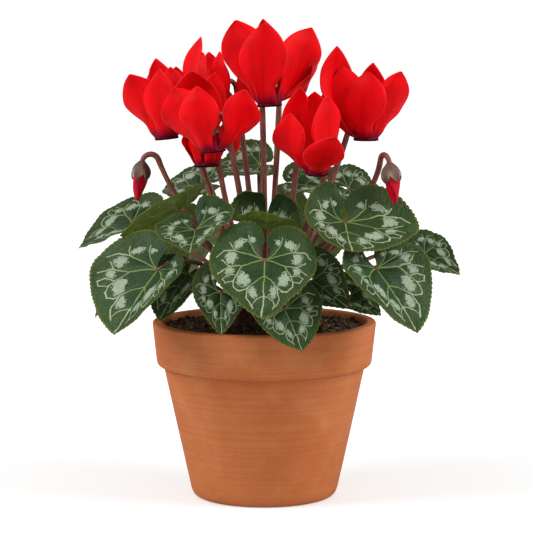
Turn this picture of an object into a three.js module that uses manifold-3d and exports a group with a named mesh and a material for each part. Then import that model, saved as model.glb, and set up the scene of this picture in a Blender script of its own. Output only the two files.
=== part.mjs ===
// A florist's cyclamen in a terracotta pot: heart-shaped, silver-marked leaves and nodding scarlet flowers
// that all grow from one tuber in the potting soil. Millimetres, +Z up. The pot's axis is Z, it stands at
// Z = 0, and the front of the plant faces -Y. A compass angle is 0 to the front and 90 to the right.
import * as THREE from "three";
import { mergeVertices } from "three/addons/utils/BufferGeometryUtils.js";
import Module from "manifold-3d";

const wasm = await Module();
wasm.setup();

const degree = Math.PI / 180;
const gap = 0.3; // clearance between pieces that touch

const pot = {
  height: 118,
  rimRadius: 75, // outside of the rim, at its top
  bandRadius: 72.4, // outside of the rim, at its bottom edge
  bandHeight: 30.2,
  bandRound: 3.5,
  shoulderRadius: 67.4, // outside of the body, just under the rim
  footRadius: 49,
  footRound: 5.5,
  rimWall: 7,
  rimRound: 1.4,
  wall: 6.5,
  floor: 9,
  drainRadius: 9,
  sides: 36,
};
const soil = {
  belowRim: 4.5, // of its level at the wall
  mound: 3, // how much higher it is at the tuber
  bump: 0.9,
  sides: 24,
};
const tuber = {
  radius: 26,
  depth: 20, // how far it reaches down into the soil
  rise: 9, // of its crown above the soil's level at the wall
  flatRadius: 21,
  sides: 18,
};
const leafForm = {
  thickness: 0.8,
  rays: 24, // margin points, every other one a tooth
  tooth: 1.1,
  rings: [1, 0.55],
  waves: 5,
  slit: 0.5, // half the least gap between the two basal lobes
  eye: 0.06, // half width of the drop-shaped opening at the stalk, as a share of the midrib
  eyeLength: 0.36,
  lobeReach: 0.69,
  stemRadius: 1.7,
  sides: 4,
  steps: 5,
};
const flowerForm = {
  thickness: 0.8,
  mouthRadius: 7.8,
  petalFoot: 2.6, // height above the mouth at which the petals leave the tube
  mouthDepth: 5,
  tubeHeight: 12,
  tubeSides: 7,
  tubeTopRadius: 4,
  stemRadius: 2,
  sides: 5,
  steps: 6,
  hollow: 0.15, // how far a petal's edges curve back, as a share of its half width
  crookRadius: 5.6,
  crookSteps: 4,
  calyxHeight: 7,
  calyxRadius: 4.5,
  calyxSides: 6,
};
const budForm = {
  radius: 4.6,
  point: 14.5, // how far its point hangs below the middle of its mouth to be
  head: 7, // how far it reaches up inside its calyx
  sides: 9,
  collar: 12.5, // height at which the stalk meets the calyx
  calyxHeight: 13,
  calyxRadius: 6,
};

// The outline of a leaf as seen from above: angle about the stalk from the tip, and distance from the
// stalk in lengths of the midrib.
const leafOutline = [
  [0, 1],
  [16, 0.9],
  [38, 0.815],
  [63, 0.845],
  [87, 0.93],
  [102, 0.945],
  [122, 0.92],
  [140, 0.85],
  [156, 0.75],
  [168, 0.6],
  [180, 0.36],
];
// The half width of a petal along its length, as a share of its greatest half width.
const petalOutline = [
  [0, 0.36],
  [0.17, 0.42],
  [0.24, 0.52],
  [0.31, 0.68],
  [0.4, 0.86],
  [0.5, 0.97],
  [0.58, 1],
  [0.68, 0.93],
  [0.78, 0.77],
  [0.88, 0.5],
  [0.95, 0.25],
  [1, 0.08],
];

// Each leaf: at is where its stalk meets the blade, tip its point, width its full width. roll turns the
// blade about its midrib, fold is the angle to which each half rises from the midrib, cup how much steeper
// the margin is, droop how far the tip bends down and lobes how far the basal lobes bend up, in degrees.
// uneven makes one half wider than the other, deep makes the basal lobes longer, skew makes one longer than
// the other, full rounds out both sides of the tip, and wave is the height of the margin's waves.
// tier is the ring of the crown the leaf grows from, counted from outside, and rise the angle at which its
// stalk arrives. What a leaf doesn't give is the common value.
const commonLeaf = {
  roll: 0,
  fold: 16,
  cup: 6,
  droop: 14,
  lobes: 8,
  uneven: 0,
  deep: 1,
  skew: 0,
  full: 0,
  wave: 0.7,
  tier: 1,
  rise: 20,
};
const leaves = [
  {
    at: [0.4, -85.8, 168.1], tip: [-1.1, -110, 133.3], width: 70,
    fold: -9, cup: 1, droop: 18, lobes: 4, uneven: 0.04,
    deep: 1.04, skew: -0.04, full: -0.01, tier: 0, rise: 10,
  },
  {
    at: [-68.1, -64.5, 159.3], tip: [-94.5, -92.4, 121.1], width: 72,
    roll: -14, fold: -11, cup: 1, droop: 9, lobes: 31,
    uneven: 0.61, deep: 0.59, skew: -0.23, full: 0.02, rise: -22,
  },
  {
    at: [-44.6, -50.6, 183.6], tip: [-47.7, -73.8, 171.8], width: 57,
    roll: 4, fold: 14, cup: 2, droop: -14, lobes: 59,
    uneven: -0.07, deep: 1.11, skew: 0.24, full: -0.02, rise: 40,
  },
  {
    at: [0.4, -41, 183.6], tip: [2.5, -77, 197], width: 52,
    roll: -9, fold: 7, cup: 3, droop: -1, lobes: 119, uneven: 0.04,
    deep: 1.55, skew: -0.03, full: 0.02, tier: 2, rise: 50,
  },
  {
    at: [51.9, -54, 189], tip: [55.4, -93.3, 173.6], width: 76,
    roll: 3, fold: 0, cup: 4, droop: -13, lobes: 41,
    uneven: -0.3, deep: 1.11, skew: 0.02, full: 0.01, rise: 40,
  },
  {
    at: [71.5, -70.7, 160.7], tip: [96.8, -91.9, 122.6], width: 72,
    roll: 7, fold: 7, cup: 1, droop: 6, lobes: 50,
    uneven: -0.18, deep: 0.53, skew: -0.14, full: 0.03, rise: -5,
  },
  {
    at: [107.5, 10.4, 160.9], tip: [131.1, 4.3, 148.2], width: 44,
    roll: 35, fold: 17, droop: 12, lobes: 7, uneven: 0.06, deep: 0.89, skew: -0.07, full: -0.01,
  },
  {
    at: [12.9, -83, 136.3], tip: [24.1, -96.2, 111.7], width: 48,
    roll: 12, fold: 3, cup: 4, lobes: 7, uneven: -0.07, deep: 0.98,
    skew: -0.01, full: 0.04, wave: 0.5, tier: 0, rise: 5,
  },
  {
    at: [-28, -72, 146], tip: [-27, -90, 121], width: 36,
    roll: -6, fold: 4, wave: 0.5, tier: 0, rise: 10,
  },
  {
    at: [-49.5, -44.1, 153.8], tip: [-66.8, -59.7, 125.5], width: 50,
    roll: -12, cup: 1, droop: 30, lobes: 0, uneven: 0.05, deep: 0.45, full: 0.05, tier: 0,
  },
  { at: [31.5, -54, 151], tip: [54, -70, 135], width: 44, roll: 38, fold: 20, tier: 0 },
  { at: [57, -36, 139], tip: [76, -44, 127], width: 28, roll: 45, fold: 20, wave: 0.4, tier: 0 },
  {
    at: [-91.4, 46.9, 178.6], tip: [-128, 50.8, 160.6], width: 56,
    roll: -29, cup: 1, droop: 17, lobes: 14, uneven: -0.04, deep: 0.96, skew: 0.02, full: 0.05,
  },
  {
    at: [-57.4, -10, 192], tip: [-95.2, -24, 177.4], width: 60,
    roll: 36, fold: -7, cup: 4, lobes: 62, uneven: 0.04,
    deep: 0.57, skew: 0.41, full: -0.03, rise: 40,
  },
  {
    at: [-45.2, 74, 202.4], tip: [-72.4, 92, 198.4], width: 50,
    roll: -40, fold: 12, lobes: 20, rise: 40,
  },
  {
    at: [-4, 61, 218.2], tip: [-35.2, 57, 213.2], width: 50,
    roll: -46, fold: 12, deep: 0.55, tier: 2, rise: 60,
  },
  {
    at: [21, 40, 206.4], tip: [46, 36, 202.4], width: 46,
    roll: 45, fold: 12, deep: 0.6, tier: 2, rise: 60,
  },
  { at: [58, 38, 203], tip: [82, 40, 198], width: 46, roll: 38, fold: 12, rise: 50 },
  { at: [88, 58, 160], tip: [108, 84, 128], width: 60, tier: 0 },
  { at: [34, 80, 178], tip: [40, 100, 142], width: 70, tier: 0, rise: 10 },
  { at: [-48, 84, 165], tip: [-60, 104, 129], width: 60, tier: 0 },
  { at: [-90, 8, 149], tip: [-114, 5, 119], width: 50, tier: 0 },
  { at: [-84, 56, 146], tip: [-106, 72, 116], width: 50, tier: 0 },
  { at: [57, 16, 172], tip: [81, 32, 168], width: 44, droop: 20, lobes: 20, deep: 0.6, rise: 30 },
  { at: [-10, 96, 150], tip: [-14, 111, 115], width: 46, tier: 0, rise: 10 },
];

// Each flower: mouth is the middle of its mouth, side the compass angle of its stalk as seen from its own
// axis, tilt how far that axis leans and toward the compass angle it leans to. sweep is how far the crook
// turns the stalk over, and half a turn if it isn't given. A petal has its compass angle, its lean from the
// axis, its turn about its own length in degrees, its length from the mouth and its width. bow and skew,
// where given, are how far its middle bulges outwards and how far its tip is pulled sideways.
const flowers = [
  {
    mouth: [3.5, -24, 262], side: 205, tilt: 3, toward: 270, tier: 3,
    petals: [
      [-19, 7, 1, 55, 33, 1, 4], [107, 23, 80, 55, 37, 2, 3.5], [-92, 9, -79, 58, 38, 0.5, -2],
      [158, 2, 16, 57, 25, 3.5, 5.5], [130, 54, 33, 42, 24, 5, -1],
    ],
  },
  {
    mouth: [-33, -38, 233], side: 125, tilt: 6, toward: 270, sweep: 170, tier: 2,
    petals: [
      [-34, 6, -14, 44, 28, 2, 1], [78, 34, 52, 42, 32, 2, -6], [-96, 19, -83, 46, 35, 1.5, 1],
      [-148, 3, 30, 54, 34, 4.5, 3], [194, 6, 11, 51, 24, 2.5, -9],
    ],
  },
  {
    mouth: [-65, 5, 239], side: 113, tilt: 6, toward: 270, sweep: 164,
    petals: [
      [-13, 7, 40, 48, 30, 2, 6], [66, 30, 45, 46, 27], [-84, 14, -65, 47, 33, -0.5, 0.5],
      [-188, 17, 17, 56, 24, 3, 6], [159, 9, 7, 48, 27, 3.5, -0.5],
    ],
  },
  {
    mouth: [67, -12, 239], side: 227, sweep: 166,
    petals: [
      [-16, 6, 11, 46, 31, 2, 4], [66, 18, 42, 48, 28, 1, 2.5], [-79, 27, -87, 47, 33, 1.5, 14],
      [-89, 7, 67, 63, 30, 6.5, 4.5], [159, 2, 26, 51, 26, 0, -3],
    ],
  },
  {
    mouth: [34.2, -41, 219.3], side: 136, tilt: 11, tier: 2,
    petals: [
      [-84, 23, -52, 42, 31, 4, 7], [0, 38, 15, 43, 26, 3.5, 10], [84, -6, 44, 51, 28, 0.5, 4.5],
      [-140, 13, 17, 55, 24, 5.5, -1.5], [190, 15, 13, 51, 28, 2, -2.5],
    ],
  },
  {
    mouth: [20, 34, 266], side: 300, tier: 3,
    petals: [
      [-2, 6, 15, 42, 21], [58, 3, 15, 42, 21], [118, 4, 10, 42, 20], [178, 12, 10, 42, 20],
      [-118, 10, -10, 42, 20],
    ],
  },
  {
    mouth: [-25, 32, 252], side: 131, tilt: 8, toward: 258, tier: 3,
    petals: [
      [4, 160, 0, 33, 12], [-19, 5, 35, 45, 21, 1.5, 6.5], [-86, 5, -20, 46, 24], [-150, 8, 10, 46, 22],
      [70, 38, 52, 43, 30, 2, -1],
    ],
  },
  {
    mouth: [-62, 66, 248], side: 55, tier: 2,
    petals: [
      [110, 9, -10, 59, 25, -1.5, -1], [2, 12, 10, 36, 21], [-58, 20, -10, 36, 21],
      [-118, 20, -10, 38, 20], [178, 14, 10, 38, 20],
    ],
  },
  {
    mouth: [-38.5, -3, 221], side: 140, tilt: 6, toward: 200, tier: 2,
    petals: [
      [-42, 4, 15, 32, 19], [20, 4, 15, 32, 19], [78, 8, 10, 32, 17], [-104, 4, 15, 28, 19],
      [-158, 8, -10, 32, 17],
    ],
  },
  {
    mouth: [33, 6, 224], side: 250, tier: 2,
    petals: [
      [-50, 6, 15, 36, 20], [10, 8, 15, 36, 20], [70, 10, 10, 36, 20], [130, 6, 15, 36, 20],
      [190, 10, -10, 36, 20],
    ],
  },
];

// Each bud has what a flower has, but no petals of its own.
const buds = [
  { name: "left", mouth: [-83.7, 15, 211.2], side: 90, tilt: 8, toward: 90, sweep: 152 },
  { name: "right", mouth: [82.7, -43, 213.9], side: 208, tilt: 8.5, toward: 270, sweep: 152 },
];

// A smooth run through the rows of a table of [place, value].
function along(table, place) {
  let k = 0;
  while (k < table.length - 2 && place > table[k + 1][0]) {
    k += 1;
  }
  const slope = (i) => {
    const a = table[Math.max(i - 1, 0)];
    const b = table[Math.min(i + 1, table.length - 1)];
    return (b[1] - a[1]) / (b[0] - a[0]);
  };
  const run = table[k + 1][0] - table[k][0];
  const u = (place - table[k][0]) / run;
  const rest = 1 - u;
  return (
    table[k][1] * (1 + 2 * u) * rest * rest +
    slope(k) * run * u * rest * rest +
    table[k + 1][1] * (3 - 2 * u) * u * u -
    slope(k + 1) * run * u * u * rest
  );
}

function compass(angle) {
  return new THREE.Vector3(Math.sin(angle * degree), -Math.cos(angle * degree), 0);
}

const up = new THREE.Vector3(0, 0, 1);

function toSolid(geometry) {
  const bare = geometry.clone();
  bare.deleteAttribute("normal");
  bare.deleteAttribute("uv");
  const merged = mergeVertices(bare, 1e-4);
  return new wasm.Manifold(
    new wasm.Mesh({
      numProp: 3,
      vertProperties: merged.attributes.position.array,
      triVerts: new Uint32Array(merged.index.array),
    }),
  );
}

function toGeometry(solid) {
  const mesh = solid.getMesh();
  const geometry = new THREE.BufferGeometry();
  geometry.setAttribute("position", new THREE.BufferAttribute(mesh.vertProperties.slice(), 3));
  geometry.setIndex(new THREE.BufferAttribute(mesh.triVerts.slice(), 1));
  geometry.computeVertexNormals();
  return geometry;
}

// A closed solid from an open sheet of points and triangles, thickened to both sides along its normals and
// closed along its edge. Both faces are split into triangles alike.
function thicken(points, triangles, thickness) {
  const normals = points.map(() => new THREE.Vector3());
  const edges = new Map();
  for (const [a, b, c] of triangles) {
    const normal = new THREE.Vector3().subVectors(points[b], points[a]);
    normal.cross(new THREE.Vector3().subVectors(points[c], points[a]));
    for (const corner of [a, b, c]) {
      normals[corner].add(normal);
    }
    for (const [from, to] of [[a, b], [b, c], [c, a]]) {
      if (edges.has(`${to},${from}`)) {
        edges.delete(`${to},${from}`);
      } else {
        edges.set(`${from},${to}`, [from, to]);
      }
    }
  }
  const positions = [];
  for (const side of [0.5, -0.5]) {
    for (const [k, point] of points.entries()) {
      positions.push(...point.clone().addScaledVector(normals[k].clone().normalize(), side * thickness));
    }
  }
  const count = points.length;
  const index = [];
  for (const [a, b, c] of triangles) {
    index.push(a, b, c, a + count, c + count, b + count);
  }
  for (const [from, to] of edges.values()) {
    index.push(to, from, from + count, to, from + count, to + count);
  }
  const geometry = new THREE.BufferGeometry();
  geometry.setAttribute("position", new THREE.Float32BufferAttribute(positions, 3));
  geometry.setIndex(index);
  return geometry;
}

// A path that an extrusion follows from point to point, however far apart they are.
class Spine extends THREE.CatmullRomCurve3 {
  getUtoTmapping(u) {
    return u;
  }
}

function rod(points, radius, sides) {
  const corners = [];
  for (let k = 0; k < sides; k += 1) {
    const angle = (2 * Math.PI * k) / sides;
    corners.push(new THREE.Vector2(radius * Math.cos(angle), radius * Math.sin(angle)));
  }
  return new THREE.ExtrudeGeometry(new THREE.Shape(corners), {
    steps: points.length - 1,
    extrudePath: new Spine(points),
    bevelEnabled: false,
  });
}

function bezier(a, b, c, d, t) {
  return new THREE.CubicBezierCurve3(a, b, c, d).getPoint(t);
}

// A body turned about Z from a profile of [radius, height], with each point moved by change.
function turn(profile, sides, change = (radius, angle, height) => [radius, height]) {
  const outline = profile.map(([radius, height]) => new THREE.Vector2(radius, height));
  const geometry = new THREE.LatheGeometry(outline, sides).rotateX(90 * degree);
  const position = geometry.attributes.position;
  for (let k = 0; k < position.count; k += 1) {
    const angle = Math.atan2(position.getY(k), position.getX(k));
    const flat = Math.hypot(position.getX(k), position.getY(k));
    const [radius, height] = change(flat, angle, position.getZ(k));
    position.setXYZ(k, radius * Math.cos(angle), radius * Math.sin(angle), height);
  }
  return geometry;
}

// The pot, the soil that fills it and the tuber in the soil.
const soilLevel = pot.height - soil.belowRim;
const crownLevel = soilLevel + tuber.rise;

const bandFoot = pot.height - pot.bandHeight;
const innerShoulder = bandFoot - 6; // height at which the inside widens into the rim
const wallInside = (radius) => radius - pot.wall;
const rimInside = (radius) => radius - pot.rimWall;

function potProfile() {
  return [
    [pot.drainRadius, pot.floor],
    [pot.drainRadius, 0],
    [pot.footRadius - pot.footRound, 0],
    [pot.footRadius, pot.footRound],
    [pot.shoulderRadius, bandFoot + 0.5],
    [pot.bandRadius - pot.bandRound, bandFoot],
    [pot.bandRadius, bandFoot + pot.bandRound],
    [pot.rimRadius, pot.height - pot.rimRound],
    [pot.rimRadius - pot.rimRound, pot.height],
    [rimInside(pot.rimRadius) + pot.rimRound, pot.height],
    [rimInside(pot.rimRadius), pot.height - pot.rimRound],
    [rimInside(pot.bandRadius), bandFoot],
    [wallInside(pot.shoulderRadius), innerShoulder],
    [wallInside(pot.footRadius), pot.floor],
    [pot.drainRadius, pot.floor],
  ];
}

// The radius of the pot's inside at a height.
function innerRadius(height) {
  const inner = [
    [pot.floor, wallInside(pot.footRadius)],
    [innerShoulder, wallInside(pot.shoulderRadius)],
    [bandFoot, rimInside(pot.bandRadius)],
    [pot.height - pot.rimRound, rimInside(pot.rimRadius)],
  ];
  let k = 0;
  while (k < inner.length - 2 && height > inner[k + 1][0]) {
    k += 1;
  }
  const share = (height - inner[k][0]) / (inner[k + 1][0] - inner[k][0]);
  return inner[k][1] + share * (inner[k + 1][1] - inner[k][1]);
}

function makeSoil() {
  const bottom = pot.floor + gap;
  // The pot's flat sides come nearer to the axis than its corners by this much.
  const flatSides = pot.rimRadius * (1 - Math.cos(Math.PI / pot.sides));
  const wallAt = (height) => [innerRadius(height) - gap - flatSides, height];
  const profile = [
    [0, bottom],
    wallAt(bottom),
    wallAt(innerShoulder),
    wallAt(bandFoot + 0.5),
    wallAt(soilLevel),
    [0.92 * innerRadius(soilLevel), soilLevel + 0.3 * soil.mound],
    [0.78 * innerRadius(soilLevel), soilLevel + 0.4 * soil.mound],
    [0.6 * innerRadius(soilLevel), soilLevel + 0.6 * soil.mound],
    [tuber.radius + 1.5, soilLevel + soil.mound],
    [0, soilLevel + soil.mound],
  ];
  const geometry = turn(profile, soil.sides, (radius, angle, height) => {
    const open = height > soilLevel + 0.1 && radius > 1;
    const ripple = Math.sin(5 * angle + 0.3 * radius) * Math.cos(0.2 * radius * Math.sin(3 * angle));
    return [radius, height + (open ? soil.bump * ripple : 0)];
  });
  return toSolid(geometry).subtract(toSolid(tuberShape(gap)));
}

function tuberShape(grow) {
  const profile = [
    [0, soilLevel - tuber.depth - grow],
    [0.62 * tuber.radius + grow, soilLevel - tuber.depth + 1 - grow],
    [tuber.radius + grow, soilLevel - 0.45 * tuber.depth],
    [tuber.radius + grow, soilLevel + 0.2 * tuber.rise],
    [tuber.flatRadius + grow, crownLevel - 1.5],
    [tuber.flatRadius - 3, crownLevel + grow],
    [0, crownLevel + grow],
  ];
  return turn(profile, tuber.sides);
}

// A blade as a sheet of points and triangles: rings of points about the place where the stalk meets it.
function bladeSheet(leaf) {
  const from = new THREE.Vector3(...leaf.at);
  const chord = new THREE.Vector3(...leaf.tip).sub(from);
  const half = (leaf.droop * degree) / 2;
  const length = chord.length() * (Math.abs(half) < 1e-3 ? 1 : half / Math.sin(half));
  chord.normalize();
  const sky = up.clone().addScaledVector(new THREE.Vector3(leaf.at[0], leaf.at[1], 0).normalize(), 0.3);
  const normal = sky.addScaledVector(chord, -sky.dot(chord)).normalize();
  normal.applyAxisAngle(chord, leaf.roll * degree);
  const right = new THREE.Vector3().crossVectors(chord, normal);
  const ahead = chord.clone().applyAxisAngle(right, half);
  const above = normal.clone().applyAxisAngle(right, half);
  const halfWidth = leaf.width / 2;
  const spread = halfWidth / (0.945 * length);

  const place = (angle, reach) => {
    const fuller = leaf.full * Math.exp(-(((Math.abs(angle) - 36) / 22) ** 2));
    const radius = reach * length * (along(leafOutline, Math.abs(angle)) + fuller);
    const sideSign = angle < 0 ? -1 : 1;
    const level = radius * Math.cos(angle * degree);
    const y = level < 0 ? level * leaf.deep * (1 - sideSign * leaf.skew) : level;
    const uneven = 1 + sideSign * leaf.uneven;
    let x = Math.abs(radius * Math.sin(angle * degree)) * spread * uneven;
    const back = Math.max(-y / length, 0);
    if (back > 0) {
      const eye = back < leafForm.eyeLength ? Math.sin((Math.PI * back) / leafForm.eyeLength) : 0;
      const open = leafForm.eye * length * eye + leafForm.slit * Math.min(back / 0.08, 1);
      x += open * Math.exp(-x / (0.15 * length));
    }
    const fold = leaf.fold * degree;
    const bendAcross = Math.max((leaf.cup * degree * x) / halfWidth, 1e-4);
    const across = (x * (Math.sin(fold + bendAcross) - Math.sin(fold))) / bendAcross;
    const wave = leaf.wave * reach ** 3 * Math.sin(leafForm.waves * angle * degree + leaf.at[0]);
    const lift = (x * (Math.cos(fold) - Math.cos(fold + bendAcross))) / bendAcross + wave;
    const tipBend = (leaf.droop * degree * y) / length;
    const lobeBend = (leaf.lobes * degree * back) / leafForm.lobeReach;
    const bend = y > 0 ? tipBend : lobeBend;
    const safe = Math.abs(bend) < 1e-4 ? 1e-4 : bend;
    const forward = (y * Math.sin(safe)) / safe + lift * Math.sin(bend);
    const height = (-y * (1 - Math.cos(safe))) / safe + lift * Math.cos(bend);
    return from.clone().addScaledVector(right, sideSign * across)
      .addScaledVector(ahead, forward).addScaledVector(above, height);
  };

  const points = [];
  const rows = leafForm.rings.map((reach, ring) => {
    const count = leafForm.rays / 2 ** ring;
    const row = [];
    for (let k = 0; k <= count; k += 1) {
      const angle = -180 + (360 * k) / count;
      const tooth = ring === 0 && k % 2 === 1 && k > 1 && k < count - 1 ? leafForm.tooth / length : 0;
      const leftOfSlit = k === 0 ? -1e-9 : 0;
      row.push(points.length);
      points.push(place(angle + leftOfSlit, reach * (1 - tooth)));
    }
    return row;
  });
  const centre = points.length;
  points.push(from.clone());
  const triangles = [];
  for (let ring = 0; ring < rows.length - 1; ring += 1) {
    const fine = rows[ring];
    const coarse = rows[ring + 1];
    for (let k = 0; k < coarse.length - 1; k += 1) {
      triangles.push([coarse[k + 1], coarse[k], fine[2 * k + 1]]);
      triangles.push([coarse[k], fine[2 * k], fine[2 * k + 1]]);
      triangles.push([coarse[k + 1], fine[2 * k + 1], fine[2 * k + 2]]);
    }
  }
  const last = rows[rows.length - 1];
  for (let k = 0; k < last.length - 1; k += 1) {
    triangles.push([centre, last[k], last[k + 1]]);
  }
  return { points, triangles };
}

// The path of a leaf's stalk from its root in the crown to the blade.
function petiolePath(leaf, start = 0) {
  const foot = leaf.root;
  const end = new THREE.Vector3(...leaf.at);
  const outward = new THREE.Vector3(end.x - foot.x, end.y - foot.y, 0).normalize();
  const reach = end.distanceTo(foot);
  const arrive = outward.clone().multiplyScalar(Math.cos(leaf.rise * degree))
    .addScaledVector(up, Math.sin(leaf.rise * degree));
  const leave = outward.clone().multiplyScalar(0.5).add(up).normalize();
  const first = foot.clone().addScaledVector(leave, 0.4 * reach);
  const second = end.clone().addScaledVector(arrive, -0.4 * reach);
  end.addScaledVector(arrive, 0.3);
  const points = [];
  for (let k = 0; k <= leafForm.steps; k += 1) {
    points.push(bezier(foot, first, second, end, start + ((1 - start) * k) / leafForm.steps));
  }
  return points;
}

function makeLeaf(leaf) {
  const { points, triangles } = bladeSheet(leaf);
  const blade = toSolid(thicken(points, triangles, leafForm.thickness));
  const stalk = toSolid(rod(petiolePath(leaf), leafForm.stemRadius, leafForm.sides));
  return blade.add(stalk);
}

// Where a flower is and how it stands: the middle of its mouth, its axis and the side its stalk is on.
function flowerFrame(flower) {
  const axis = up.clone().multiplyScalar(Math.cos((flower.tilt ?? 0) * degree))
    .addScaledVector(compass(flower.toward ?? 0), Math.sin((flower.tilt ?? 0) * degree));
  const side = compass(flower.side);
  side.addScaledVector(axis, -side.dot(axis)).normalize();
  return { origin: new THREE.Vector3(...flower.mouth), axis, side };
}

function inFrame(geometry, frame) {
  const third = new THREE.Vector3().crossVectors(frame.axis, frame.side);
  return geometry.applyMatrix4(new THREE.Matrix4().makeBasis(frame.side, third, frame.axis)
    .setPosition(frame.origin));
}

// A petal leaves the tube just above the mouth and stands up, turned about its own length.
function petalSheet(petal, frame) {
  const [angle, lean, turned, length, width, bow = 2, skew = 0] = petal;
  const radial = compass(angle);
  radial.addScaledVector(frame.axis, -radial.dot(frame.axis)).normalize();
  const tangent = new THREE.Vector3().crossVectors(frame.axis, radial);
  const tilt = lean * degree;
  const outward = radial.clone().multiplyScalar(Math.cos(tilt)).addScaledVector(frame.axis, -Math.sin(tilt));
  const place = (share, across) => {
    const run = share * (length - flowerForm.petalFoot);
    const radius = flowerForm.mouthRadius - 1.4 + 2.4 * (1 - Math.exp(-run / 4)) + run * Math.sin(tilt);
    const centre = frame.origin.clone().addScaledVector(radial, radius)
      .addScaledVector(frame.axis, flowerForm.petalFoot + run * Math.cos(tilt))
      .addScaledVector(outward, bow * 4 * share * (1 - share));
    const twist = turned * (0.4 + 0.6 * share) * Math.min(share / 0.12, 1) * degree;
    const sideways = tangent.clone().multiplyScalar(Math.cos(twist))
      .addScaledVector(outward, Math.sin(twist));
    const facing = outward.clone().multiplyScalar(Math.cos(twist))
      .addScaledVector(tangent, -Math.sin(twist));
    const reach = (width / 2) * along(petalOutline, share);
    const grown = Math.min(Math.max((share - 0.1) / 0.3, 0), 1);
    const hollow = flowerForm.hollow * grown * grown * (3 - 2 * grown);
    return centre.addScaledVector(sideways, reach * across + skew * share ** 2)
      .addScaledVector(facing, -hollow * reach * across ** 2);
  };
  const shares = [0, 0.28, 0.56, 0.82, 1];
  const sides = [-1, 1];
  const points = shares.flatMap((share) => sides.map((across) => place(share, across)));
  const triangles = [];
  for (let row = 0; row < shares.length - 1; row += 1) {
    for (let k = 0; k < sides.length - 1; k += 1) {
      const corner = row * sides.length + k;
      triangles.push([corner, corner + 1, corner + sides.length + 1]);
      triangles.push([corner, corner + sides.length + 1, corner + sides.length]);
    }
  }
  return { points, triangles };
}

// The tube of a flower, open downwards in a shallow cone.
function tubeShape() {
  return turn(
    [
      [0, flowerForm.mouthDepth],
      [0.56 * flowerForm.mouthRadius, 0.6 * flowerForm.mouthDepth],
      [flowerForm.mouthRadius, 0],
      [flowerForm.tubeTopRadius, flowerForm.tubeHeight],
      [0, flowerForm.tubeHeight],
    ],
    flowerForm.tubeSides,
  );
}

// A bud hangs point down from its calyx, its petals rolled up in a spiral.
function budShape(grow) {
  const { radius, point, head } = budForm;
  const profile = [
    [0, -point - grow],
    [0.35 * radius + grow, -0.86 * point],
    [0.78 * radius + grow, -0.5 * point],
    [radius + grow, -0.11 * point],
    [0.9 * radius + grow, 0.5 * head],
    [0.52 * radius + grow, head + grow],
    [0, head + grow],
  ];
  return turn(profile, budForm.sides, (flat, angle, height) =>
    [flat * (1 + 0.08 * Math.cos(3 * angle + 0.22 * height)), height]);
}

// The calyx of a bud has five pointed lobes; the one that a flower's petals hide is a plain cone.
function calyxShape(height, radius, top, lobes) {
  const low = top - height;
  const rim = lobes ? [[radius, low], [radius * 0.95, low + 0.45 * height]] : [[radius, low]];
  return turn(
    [[0, low], ...rim, [radius * 0.62, top - 0.22 * height], [flowerForm.stemRadius, top], [0, top]],
    lobes ? 10 : flowerForm.calyxSides,
    (flat, angle, level) => {
      const moved = lobes && level < low + 0.1 && flat > 1;
      return [flat, level + (moved ? 0.2 * height * (1 - Math.cos(5 * angle)) : 0)];
    },
  );
}

// The stalk rises from its root to the crook, which turns it over by the sweep into the calyx.
function stalkPath(flower, frame, collar, start = 0) {
  const { crookRadius, crookSteps, steps } = flowerForm;
  const top = frame.origin.clone().addScaledVector(frame.axis, collar);
  const centre = top.clone().addScaledVector(frame.side, crookRadius);
  const sweep = (flower.sweep ?? 180) * degree;
  const onCrook = (angle) => centre.clone().addScaledVector(frame.side, crookRadius * Math.cos(angle))
    .addScaledVector(frame.axis, crookRadius * Math.sin(angle));
  const bend = Math.PI - sweep;
  const shoulder = onCrook(bend);
  const climb = frame.axis.clone().multiplyScalar(Math.cos(bend))
    .addScaledVector(frame.side, -Math.sin(bend));
  const way = shoulder.clone().sub(flower.root);
  const reach = way.length();
  const leave = way.clone().normalize().add(up).normalize();
  const first = flower.root.clone().addScaledVector(leave, 0.3 * reach);
  const second = shoulder.clone().addScaledVector(climb, -0.3 * reach);
  const points = [];
  for (let k = 0; k <= steps; k += 1) {
    points.push(bezier(flower.root, first, second, shoulder, start + ((1 - start) * k) / steps));
  }
  for (let k = 1; k <= crookSteps; k += 1) {
    points.push(onCrook(bend + (sweep * k) / crookSteps));
  }
  points.push(top.clone().addScaledVector(frame.axis, -flowerForm.stemRadius));
  return points;
}

function makeCorolla(flower) {
  const frame = flowerFrame(flower);
  let solid = toSolid(inFrame(tubeShape(), frame));
  for (const petal of flower.petals) {
    const { points, triangles } = petalSheet(petal, frame);
    solid = solid.add(toSolid(thicken(points, triangles, flowerForm.thickness)));
  }
  return solid;
}

function makeStalk(flower, collar, calyx) {
  const frame = flowerFrame(flower);
  const path = stalkPath(flower, frame, collar);
  return toSolid(rod(path, flowerForm.stemRadius, flowerForm.sides)).add(calyx);
}

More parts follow.
